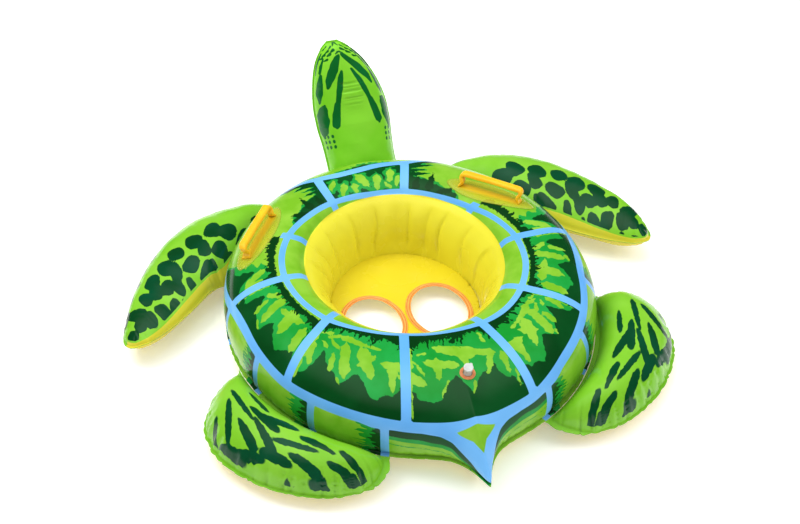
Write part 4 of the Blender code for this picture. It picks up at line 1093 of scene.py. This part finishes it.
# --- Seat floor and leg rims ----------------------------------------------------------------------------
def make_floor():
    """A film floor on a fine grid, trimmed to the well and to the two leg holes."""
    pitch = 0.0032
    centre_y = RING_Y + WELL_FLOOR_Y
    nx = int(WELL_FLOOR_HALF_WIDTH / pitch) + 3
    ny = int(WELL_FLOOR_HALF_LENGTH / pitch) + 3
    half_width, half_length = WELL_FLOOR_HALF_WIDTH + 0.0022, WELL_FLOOR_HALF_LENGTH + 0.0022
    ovals = [(0.0, centre_y, half_width, half_length, -1)]
    for side in (-1, 1):
        hole_x, hole_y = LEG_HOLE_SHIFT + side * LEG_HOLE_X, RING_Y + LEG_HOLE_Y
        ovals.append((hole_x, hole_y, LEG_HOLE_HALF_WIDTH, LEG_HOLE_HALF_LENGTH, 1))
    xs = np.arange(-nx, nx + 1) * pitch
    ys = centre_y + np.arange(-ny, ny + 1) * pitch
    x, y = (grid.reshape(-1) for grid in np.meshgrid(xs, ys, indexing="ij"))
    keep = np.ones(len(x), bool)
    for cx, cy, hx, hy, sign in ovals:
        size = np.hypot((x - cx) / hx, (y - cy) / hy)
        band = pitch * 0.75 / min(hx, hy)
        near = np.abs(size - 1) < band
        x = np.where(near, cx + (x - cx) / size, x)
        y = np.where(near, cy + (y - cy) / size, y)
        keep &= near | ((size - 1) * sign > 0)
    faces = grid_faces(len(xs), len(ys))
    faces = faces[keep[faces].all(1)]
    used = np.unique(faces)
    number = np.full(len(x), -1)
    number[used] = np.arange(len(used))
    x, y = x[used], y[used]
    from_wall = 1 - np.hypot(x / half_width, (y - centre_y) / half_length)
    to_hole = np.full(len(x), 1.0)
    for cx, cy, hx, hy, sign in ovals[1:]:
        to_hole = np.minimum(to_hole, np.hypot((x - cx) / hx, (y - cy) / hy) - 1)
    slack = smooth_step(from_wall, 0.02, 0.25) * smooth_step(to_hole, 0.02, 0.3)
    z = FLOOR_Z + 0.0011 * waves(x * 1000, y * 1000, 75, 61) * slack
    z += 0.0009 * waves(x * 1000, y * 1000, 26, 62) * smooth_step(0.14 - from_wall, 0, 0.12) * slack
    made = mesh_object("well_floor", np.stack((x, y, z), -1), number[faces], [film_yellow()])
    thicken = made.modifiers.new("film", "SOLIDIFY")
    thicken.thickness = FILM
    thicken.offset = 1.0
    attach(made, "float_body")
    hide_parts("seat_floor")
    face_up(made)
    return made


def face_up(made):
    if made.data.polygons[0].normal.z < 0:
        made.data.flip_normals()


def make_leg_rim(word, side):
    """The welded hem round a leg hole: a soft band with a groove pressed in by the welder on each side."""
    base = FLOOR_Z + FILM + 0.0002
    width = LEG_RIM_OUTER - LEG_RIM_INNER
    across = np.linspace(0, 1, 19)
    dome = LEG_RIM_THICK * np.sin(np.pi * across) ** 0.55
    for groove in (0.26, 0.72):
        dome -= 0.0010 * np.exp(-(((across - groove) / 0.06) ** 2))
    dome = np.maximum(dome, 0.0002)
    profile = [(LEG_RIM_INNER + width * s, base + h) for s, h in zip(across, dome)]
    profile += [(LEG_RIM_INNER + width * s, base) for s in across[::-1][1:-1]]
    profile = np.array(profile)
    steps = 160
    turn = np.linspace(0, math.tau, steps, endpoint=False)
    past = profile[:, 0][None, :] + 0.0004 * waves(turn * 60, turn * 0, 40, 63)[:, None]
    x = LEG_HOLE_SHIFT + side * LEG_HOLE_X + (LEG_HOLE_HALF_WIDTH + past) * np.cos(turn)[:, None]
    y = RING_Y + LEG_HOLE_Y + (LEG_HOLE_HALF_LENGTH + past) * np.sin(turn)[:, None]
    z = np.repeat(profile[:, 1][None, :], steps, 0)
    points = np.stack((x, y, z), -1).reshape(-1, 3)
    share = np.concatenate((across, across[::-1][1:-1]))
    weld = np.minimum(np.abs(share - 0.26), np.abs(share - 0.72)) * width * 1000
    fields = {"weld": np.tile(weld, steps)}
    faces = grid_faces(steps, len(profile), True, True)
    made = mesh_object(f"leg_hem_{word}", points, faces, [hem_orange()], fields)
    face_outward(made)
    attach(made, "float_body")
    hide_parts(f"leg_rim_{word}")
    return made


# --- Handles --------------------------------------------------------------------------------------------
def tree_of(made):
    work = bmesh.new()
    work.from_mesh(made.data)
    tree = BVHTree.FromBMesh(work)
    work.free()
    return tree


def surface_height(tree, x, y):
    hit, _, _, _ = tree.ray_cast(Vector((x, y, 1.0)), Vector((0, 0, -1)))
    return hit.z


def handle_frame(side):
    x, y, degrees = HANDLE_PLACES[side]
    turn = math.radians(degrees)
    along = np.array((math.cos(turn), math.sin(turn)))
    return np.array((x, RING_Y + y)), along, side * np.array((-along[1], along[0]))


def make_patch(word, side, deck):
    """The translucent oval film that a handle is welded to: it follows the deck and has a pressed rim."""
    centre, along, outward = handle_frame(side)
    rings, steps = 16, 120
    points, faces, rim, band = [], [], [], []
    for layer in (1, 0):
        for k in range(rings + 1):
            share = k / rings
            for i in range(steps):
                turn = math.tau * i / steps
                a = share * math.cos(turn) * PATCH_HALF_LENGTH * 0.995
                b = share * math.sin(turn) * PATCH_HALF_WIDTH * (1 - 0.10 * math.cos(turn) ** 4)
                x, y = centre + along * a + outward * b
                base = surface_height(deck, x, y) + 0.0004
                weld = math.exp(-(((share - 0.90) / 0.035) ** 2))
                bulge = 0.0007 * (1 - share**6) + 0.0004 * math.exp(-(((share - 0.98) / 0.02) ** 2))
                # The moulding's flat base shows through between the feet.
                inside = min(0.0075 - abs(b + 0.002), HANDLE_FOOT_REACH - abs(a))
                bulge += 0.0006 * float(smooth_step(np.float64(inside), -0.001, 0.002))
                points.append((x, y, base + layer * (0.0009 + bulge - 0.0006 * weld)))
                rim.append(share)
                band.append(inside * 1000)
    span = (rings + 1) * steps
    for layer in (0, 1):
        for k in range(rings):
            for i in range(steps):
                a, b = layer * span + k * steps + i, layer * span + k * steps + (i + 1) % steps
                quad = (a, b, b + steps, a + steps)
                faces.append(quad if layer == 0 else quad[::-1])
    last = rings * steps
    for i in range(steps):
        a, b = last + i, last + (i + 1) % steps
        faces.append((a, b, b + span, a + span))
    made = mesh_object(f"handle_film_{word}", points, faces, [patch_film()], {"rim": rim, "band": band})
    clean = bmesh.new()
    clean.from_mesh(made.data)
    bmesh.ops.remove_doubles(clean, verts=clean.verts, dist=0.00001)
    bmesh.ops.recalc_face_normals(clean, faces=clean.faces)
    clean.to_mesh(made.data)
    clean.free()
    made.data.shade_smooth()
    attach(made, "float_body")
    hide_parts(f"handle_patch_{word}")
    return made


def make_handle(word, side, deck):
    """The moulded grab strap: a flat loop with rounded edges, on two feet that spread into the patch."""
    centre, along, outward = handle_frame(side)
    half = HANDLE_THICK / 2
    right = [
        (HANDLE_FOOT_REACH, half),
        (HANDLE_KNEE + 0.0045, half),
        (HANDLE_KNEE + 0.0012, half + 0.0022),
        (HANDLE_KNEE + 0.0010, half + 0.0062),
        (HANDLE_SHOULDER + 0.0005, HANDLE_RISE - 0.0060),
        (HANDLE_SHOULDER - 0.0010, HANDLE_RISE - 0.0020),
        (HANDLE_SHOULDER - 0.0050, HANDLE_RISE),
        (HANDLE_SHOULDER - 0.0240, HANDLE_RISE + 0.0005),
    ]
    path = [(-reach, up) for reach, up in right] + [(0.0, HANDLE_RISE + 0.001)] + right[::-1]
    path = curve(path, np.linspace(0, 1, 150))
    step = np.gradient(path, axis=0)
    step /= np.linalg.norm(step, axis=1, keepdims=True)
    normal = np.stack((-step[:, 1], step[:, 0]), -1)
    feet = []
    for end in (-1, 1):
        spots = [centre + along * (end * s * HANDLE_FOOT_REACH) for s in (0.8, 0.9, 1.0)]
        feet.append(max(surface_height(deck, *spot) for spot in spots) + HANDLE_CLEAR)
    turns = np.linspace(0, math.tau, 28, endpoint=False)
    points = []
    for (reach, up), direction in zip(path, normal):
        foot = smooth_step(abs(reach), HANDLE_KNEE, HANDLE_FOOT_REACH) * (1 - smooth_step(up, 0.006, 0.016))
        wide = HANDLE_WIDE / 2 * (1 + 0.30 * foot)
        thick = half * (1 - 0.45 * foot)
        share = (reach + HANDLE_FOOT_REACH) / (2 * HANDLE_FOOT_REACH)
        base = feet[0] + (feet[1] - feet[0]) * share - half * 0.9 * foot
        for turn in turns:
            c, s = math.cos(turn), math.sin(turn)
            across = math.copysign(abs(c) ** 0.55, c) * wide
            off = math.copysign(abs(s) ** 0.7, s) * thick
            flat_reach, flat_up = reach + direction[0] * off, up + direction[1] * off
            lean = math.tan(math.radians(HANDLE_LEAN)) * max(0.0, flat_up - HANDLE_THICK)
            x, y = centre + along * flat_reach + outward * (across + lean)
            follow = surface_height(deck, x, y) + HANDLE_CLEAR - half * 0.9 * foot if foot > 0 else base
            points.append((x, y, base + (follow - base) * foot + flat_up))
    rows = len(path)
    faces = [tuple(face) for face in grid_faces(rows, len(turns), False, True)]
    faces.append(tuple(range(len(turns))))
    faces.append(tuple(range((rows - 1) * len(turns), rows * len(turns))))
    made = mesh_object(f"grab_handle_{word}", points, faces, [handle_plastic()])
    face_outward(made)
    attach(made, "float_body")
    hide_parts(f"handle_{word}")
    return made


# --- Valve ----------------------------------------------------------------------------------------------
def lathe(name, profile, matrix, materials, steps=48):
    """A turned body from a closed profile of (radius, height)."""
    points, index = [], []
    for radius, height in profile:
        if radius == 0:
            index.append([len(points)] * steps)
            points.append(matrix @ Vector((0, 0, height)))
            continue
        index.append(list(range(len(points), len(points) + steps)))
        for i in range(steps):
            turn = math.tau * i / steps
            points.append(matrix @ Vector((radius * math.cos(turn), radius * math.sin(turn), height)))
    pairs = list(zip(index, index[1:]))
    if profile[0][0] > 0:
        pairs.append((index[-1], index[0]))
    faces = []
    for here, there in pairs:
        for i in range(steps):
            j = (i + 1) % steps
            corners = list(dict.fromkeys((here[i], here[j], there[j], there[i])))
            if len(corners) > 2:
                faces.append(corners)
    made = mesh_object(name, points, faces, materials)
    face_outward(made)
    return made


def joined_box(made, low, high, matrix, bevel):
    """Add a small rounded block to a body by a boolean union."""
    work = bmesh.new()
    bmesh.ops.create_cube(work, size=1.0)
    for vert in work.verts:
        vert.co = matrix @ Vector([(l + h) / 2 + (h - l) * c for l, h, c in zip(low, high, vert.co)])
    bmesh.ops.bevel(work, geom=work.edges[:], offset=bevel, segments=2, affect="EDGES")
    mesh = bpy.data.meshes.new("block")
    work.to_mesh(mesh)
    work.free()
    block = bpy.data.objects.new("block", mesh)
    bpy.context.scene.collection.objects.link(block)
    join = made.modifiers.new("join", "BOOLEAN")
    join.operation = "UNION"
    join.object = block
    evaluated = made.evaluated_get(bpy.context.evaluated_depsgraph_get())
    result = bpy.data.meshes.new_from_object(evaluated)
    made.modifiers.clear()
    made.data = result
    bpy.data.objects.remove(block)
    made.data.shade_smooth()
    made.data.set_sharp_from_angle(angle=math.radians(35))


def make_valve():
    """The push-in air valve: welded collar, clear tube, its stopper on a strap, and the check flap inside."""
    matrix = Matrix.Translation(VALVE_BASE) @ Matrix.Rotation(math.radians(VALVE_TILT), 4, "X")
    matrix = matrix @ Matrix.Rotation(math.radians(VALVE_TURN), 4, "Z")

    collar = [(0.0084, 0.0018), (0.0140, 0.0018), (0.01402, 0.0022), (0.0137, 0.0026), (0.0129, 0.0028)]
    collar += [(0.0123, 0.0024), (0.0117, 0.0027), (0.0108, 0.0034), (0.0096, 0.0038), (0.0084, 0.0038)]
    made = lathe("valve_collar", collar, matrix, [valve_amber()])
    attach(made, "float_body")
    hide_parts("valve_flange")

    stem = [(0.0054, -0.0085), (0.0074, -0.0085), (0.0078, -0.0080), (0.0078, 0.0152), (0.0080, 0.0156)]
    stem += [(0.0082, 0.0161), (0.0082, 0.0172), (0.0080, 0.0175), (0.0058, 0.0175), (0.0054, 0.0171)]
    made = lathe("valve_tube_clear", stem, matrix, [valve_clear()])
    joined_box(made, (-0.0022, 0.0072, 0.0141), (0.0022, 0.0112, 0.0163), matrix, 0.0004)
    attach(made, "valve_tube")
    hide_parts("valve_stem")

    cap = [(0.0, 0.0137), (0.0025, 0.0138), (0.0031, 0.0142)]
    cap += [(0.0045, 0.0178), (0.0045, 0.0179), (0.0082, 0.0179)]
    cap += [(0.0086, 0.0183), (0.0086, 0.0196), (0.0083, 0.0202), (0.0075, 0.0205), (0.0064, 0.0203)]
    cap += [(0.0056, 0.0198), (0.0, 0.0197)]
    made = lathe("valve_stopper_clear", cap, matrix, [valve_clear()])
    joined_box(made, (-0.0022, 0.0076, 0.0179), (0.0022, 0.0110, 0.0189), matrix, 0.0003)
    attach(made, "valve_stopper")
    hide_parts("valve_cap")

    low = -0.0085 - 0.0004
    flap = [(0.0, low - 0.0006), (0.0066, low - 0.0006), (0.0070, low - 0.0004), (0.0070, low - 0.0002)]
    flap += [(0.0066, low), (0.0, low)]
    made = lathe("valve_flap_disc", flap, matrix, [valve_clear()], 32)
    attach(made, "valve_check_flap")
    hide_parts("valve_flap")


# --- Materials ------------------------------------------------------------------------------------------
def colour(code):
    """Linear colour from a hex code as seen on a screen."""
    channels = [int(code[i : i + 2], 16) / 255 for i in (1, 3, 5)]
    return (*[c / 12.92 if c <= 0.04045 else ((c + 0.055) / 1.055) ** 2.4 for c in channels], 1.0)


def put(tree, kind, inputs=None, **settings):
    made = tree.nodes.new(kind)
    for key, value in settings.items():
        setattr(made, key, value)
    for key, value in (inputs or {}).items():
        if isinstance(value, bpy.types.NodeSocket):
            tree.links.new(value, made.inputs[key])
        else:
            made.inputs[key].default_value = value
    return made


def noise(tree, scale, detail=2.0, roughness=0.5):
    place = put(tree, "ShaderNodeTexCoord").outputs["Object"]
    made = put(tree, "ShaderNodeTexNoise", {"Vector": place, "Scale": scale, "Detail": detail})
    made.inputs["Roughness"].default_value = roughness
    return made.outputs["Fac"]


def ranged(tree, value, low, high, to_low, to_high):
    inputs = {"Value": value, "From Min": low, "From Max": high, "To Min": to_low, "To Max": to_high}
    return put(tree, "ShaderNodeMapRange", inputs).outputs["Result"]


def mixed(tree, share, a, b):
    return put(tree, "ShaderNodeMix", {0: share, 6: a, 7: b}, data_type="RGBA").outputs[2]


def cut(tree, field, ragged=0.0, grain=260.0, soft=0.35):
    """1 where a print field is positive, with a crisp edge that is a little ragged."""
    value = put(tree, "ShaderNodeAttribute", attribute_name=field).outputs["Fac"]
    if ragged:
        shift = ranged(tree, noise(tree, grain, 1.0), 0.25, 0.75, -ragged, ragged)
        value = put(tree, "ShaderNodeMath", {0: value, 1: shift}, operation="ADD").outputs[0]
    return ranged(tree, value, -soft, soft, 0.0, 1.0)


def tinted(tree, first, second, scale):
    """An ink that drifts a little between two colours."""
    share = ranged(tree, noise(tree, scale, 3.0), 0.35, 0.65, 0.0, 1.0)
    return mixed(tree, share, colour(first), colour(second))


def shader_of(name, roughness, coat=0.0, specular=0.5):
    found = bpy.data.materials.new(name)
    found.use_nodes = True
    shader = found.node_tree.nodes["Principled BSDF"]
    shader.inputs["Roughness"].default_value = roughness
    shader.inputs["Coat Weight"].default_value = coat
    shader.inputs["Coat Roughness"].default_value = 0.06
    shader.inputs["Specular IOR Level"].default_value = specular
    return found, found.node_tree, shader


def dressed(tree, shader, gloss_low, gloss_high, bump=0.00012, bump_scale=90.0):
    """Film gloss that varies a little, and a faint orange-peel in the surface."""
    gloss = ranged(tree, noise(tree, 14.0, 3.0), 0.3, 0.7, gloss_low, gloss_high)
    tree.links.new(gloss, shader.inputs["Roughness"])
    height = noise(tree, bump_scale, 3.0)
    relief = put(tree, "ShaderNodeBump", {"Height": height, "Strength": 0.35, "Distance": bump})
    tree.links.new(relief.outputs["Normal"], shader.inputs["Normal"])


def once(maker):
    """Each material is made the first time that it is asked for."""
    made = {}

    def get():
        if "it" not in made:
            made["it"] = maker()
        return made["it"]

    return get


@once
def ring_ink():
    made, tree, shader = shader_of("ring_ink", 0.2, 0.06, 0.2)
    dark = tinted(tree, "#023F14", "#064E1E", 9.0)
    mid = tinted(tree, "#12902C", "#1EA042", 16.0)
    lime = tinted(tree, "#74B422", "#8CC43A", 22.0)
    look = mixed(tree, cut(tree, "mid", 0.3), dark, mid)
    look = mixed(tree, cut(tree, "lime", 0.3), look, lime)
    look = mixed(tree, cut(tree, "ink", 1.6, 420.0), look, colour("#03380F"))
    look = mixed(tree, cut(tree, "blue"), look, tinted(tree, "#5EA8EC", "#74BAF6", 7.0))
    tree.links.new(look, shader.inputs["Base Color"])
    dressed(tree, shader, 0.16, 0.26)
    return made


def film(name, first, second):
    made, tree, shader = shader_of(name, 0.24, 0.1, 0.4)
    tree.links.new(tinted(tree, first, second, 6.0), shader.inputs["Base Color"])
    dressed(tree, shader, 0.2, 0.32, 0.00015, 60.0)
    return made


@once
def film_yellow():
    return film("film_yellow", "#E2D024", "#DCC828")


# A lighter, more lemon copy of the yellow film for the well's wall. Its extra lightness is painted light that
# lifts the wall against the shade inside the well.
@once
def wall_yellow_painted_light():
    return film("wall_yellow_painted_light", "#EAE23A", "#E2D834")


@once
def flipper_ink():
    made, tree, shader = shader_of("flipper_ink", 0.18, 0.08, 0.25)
    lime = tinted(tree, "#78C024", "#88CA3A", 11.0)
    dark = tinted(tree, "#02401A", "#044A2C", 12.0)
    look = mixed(tree, cut(tree, "spots"), lime, dark)
    look = mixed(tree, cut(tree, "under"), look, tinted(tree, "#DED43C", "#D6CC38", 7.0))
    tree.links.new(look, shader.inputs["Base Color"])
    dressed(tree, shader, 0.14, 0.24)
    return made


@once
def head_ink():
    made, tree, shader = shader_of("head_ink", 0.18, 0.08, 0.3)
    lime = tinted(tree, "#76CC20", "#88D634", 11.0)
    look = mixed(tree, cut(tree, "spots"), lime, tinted(tree, "#06601C", "#0A6A30", 12.0))
    look = mixed(tree, cut(tree, "glint"), look, colour("#F4F8EC"))
    tree.links.new(look, shader.inputs["Base Color"])
    dressed(tree, shader, 0.14, 0.24)
    return made


@once
def hem_orange():
    made, tree, shader = shader_of("hem_orange", 0.28, 0.2)
    weld = put(tree, "ShaderNodeAttribute", attribute_name="weld").outputs["Fac"]
    line = ranged(tree, weld, 0.35, 0.8, 1.0, 0.0)
    look = mixed(tree, line, tinted(tree, "#FBB25E", "#F4A44E", 30.0), colour("#CE5A1E"))
    tree.links.new(look, shader.inputs["Base Color"])
    shader.inputs["Subsurface Weight"].default_value = 0.2
    shader.inputs["Subsurface Scale"].default_value = 0.003
    dressed(tree, shader, 0.22, 0.34, 0.0001, 300.0)
    return made


@once
def handle_plastic():
    made, tree, shader = shader_of("handle_plastic", 0.3, 0.1)
    tree.links.new(tinted(tree, "#FFC81C", "#FFBC10", 18.0), shader.inputs["Base Color"])
    shader.inputs["Subsurface Weight"].default_value = 0.15
    shader.inputs["Subsurface Scale"].default_value = 0.004
    dressed(tree, shader, 0.26, 0.38, 0.00008, 500.0)
    return made


@once
def patch_film():
    made, tree, shader = shader_of("patch_film", 0.22, 0.3)
    rim = put(tree, "ShaderNodeAttribute", attribute_name="rim").outputs["Fac"]
    edge = ranged(tree, rim, 0.80, 0.92, 0.0, 1.0)
    look = mixed(tree, edge, tinted(tree, "#E4E034", "#DADC3A", 30.0), colour("#D2DC46"))
    band = cut(tree, "band", 0.0, 1.0, 3.0)
    look = mixed(tree, band, look, colour("#F2CC24"))
    tree.links.new(look, shader.inputs["Base Color"])
    tree.links.new(ranged(tree, band, 0.0, 1.0, 0.40, 0.72), shader.inputs["Alpha"])
    dressed(tree, shader, 0.18, 0.28, 0.0001, 250.0)
    return made


@once
def valve_amber():
    made, tree, shader = shader_of("valve_amber", 0.2, 0.3)
    tree.links.new(tinted(tree, "#E8925C", "#DC7E48", 150.0), shader.inputs["Base Color"])
    shader.inputs["Transmission Weight"].default_value = 0.1
    dressed(tree, shader, 0.15, 0.28, 0.00005, 600.0)
    return made


@once
def valve_clear():
    made, tree, shader = shader_of("valve_clear", 0.12, 0.2)
    tree.links.new(tinted(tree, "#F6F8F6", "#EEF2F0", 200.0), shader.inputs["Base Color"])
    shader.inputs["Transmission Weight"].default_value = 0.35
    shader.inputs["IOR"].default_value = 1.5
    dressed(tree, shader, 0.10, 0.22, 0.00005, 600.0)
    return made


@once
def studio_white():
    made, tree, shader = shader_of("studio_white", 0.9, 0.0, 0.1)
    tree.links.new(tinted(tree, "#FAFAFA", "#F7F7F7", 0.5), shader.inputs["Base Color"])
    # Light bounces about under the float, so the shadows on the floor stay pale.
    shader.inputs["Emission Color"].default_value = (1.0, 0.99, 0.97, 1.0)
    shader.inputs["Emission Strength"].default_value = 0.22
    return made


# --- Studio ---------------------------------------------------------------------------------------------
def make_studio():
    scene = bpy.context.scene
    world = bpy.data.worlds.new("studio")
    world.use_nodes = True
    sky = world.node_tree
    sky.nodes["Background"].inputs["Color"].default_value = (1.0, 1.0, 1.0, 1.0)
    place = put(sky, "ShaderNodeTexCoord").outputs["Generated"]
    height = put(sky, "ShaderNodeSeparateXYZ", {"Vector": place}).outputs["Z"]
    # Dim at the level of the horizon, so that dark prints stay dark, and bright overhead.
    glow = ranged(sky, height, 0.05, 0.75, 0.22, 0.85)
    seen = put(sky, "ShaderNodeLightPath").outputs["Is Camera Ray"]
    # The film mirrors a dim room with one soft light straight above.
    mirrored = put(sky, "ShaderNodeLightPath").outputs["Is Glossy Ray"]
    above = ranged(sky, height, 0.72, 0.99, 0.06, 1.5)
    inputs = {"Value": mirrored, "To Min": glow, "To Max": above}
    glow = put(sky, "ShaderNodeMapRange", inputs).outputs["Result"]
    strength = put(sky, "ShaderNodeMath", {0: glow, 1: seen}, operation="MAXIMUM").outputs[0]
    sky.links.new(strength, sky.nodes["Background"].inputs["Strength"])
    scene.world = world
    scene.view_settings.view_transform = "Standard"
    half = 9.0
    corners = [(-half, -half, 0), (half, -half, 0), (half, half, 0), (-half, half, 0)]
    floor = mesh_object("studio_floor", corners, [(0, 1, 2, 3)], [studio_white()])
    for name, place, size, power in (
        ("key", (-1.3, 0.9, 2.3), (1.6, 1.2), 34.0),
        ("fill", (1.9, -0.9, 1.9), (1.4, 1.4), 16.0),
        ("top", (0.2, 0.4, 3.0), (2.4, 1.6), 22.0),
    ):
        light = bpy.data.lights.new(name, "AREA")
        light.shape = "RECTANGLE"
        light.size, light.size_y = size
        light.energy = power
        lamp = bpy.data.objects.new(name, light)
        lamp.location = place
        lamp.rotation_euler = (Vector((0, 0, 0.05)) - Vector(place)).to_track_quat("-Z", "Y").to_euler()
        lamp.visible_glossy = False
        scene.collection.objects.link(lamp)


def make_camera():
    azimuth, elevation, distance = math.radians(-16.98), math.radians(40.0), 2.723
    target = Vector((0.0046, 0.0219, 0.10))
    level = math.cos(elevation)
    back = Vector((math.sin(azimuth) * level, -math.cos(azimuth) * level, math.sin(elevation)))
    data = bpy.data.cameras.new("camera")
    data.lens, data.sensor_width = 63.0, 36.0
    camera = bpy.data.objects.new("camera", data)
    camera.location = target + back * distance
    camera.rotation_euler = (-back).to_track_quat("-Z", "Y").to_euler()
    bpy.context.scene.collection.objects.link(camera)
    bpy.context.scene.camera = camera


make_camera()
make_studio()
ring_chamber = make_ring()
for side, word in ((-1, "left"), (1, "right")):
    make_flipper("front", FRONT_FLIPPER, side, word, 150, 70)
    make_flipper("rear", REAR_FLIPPER, side, word, 110, 120)
make_head()
make_floor()
deck_tree = tree_of(ring_chamber)
for side, word in ((-1, "left"), (1, "right")):
    make_leg_rim(word, side)
    make_patch(word, side, deck_tree)
    make_handle(word, side, deck_tree)
make_valve()
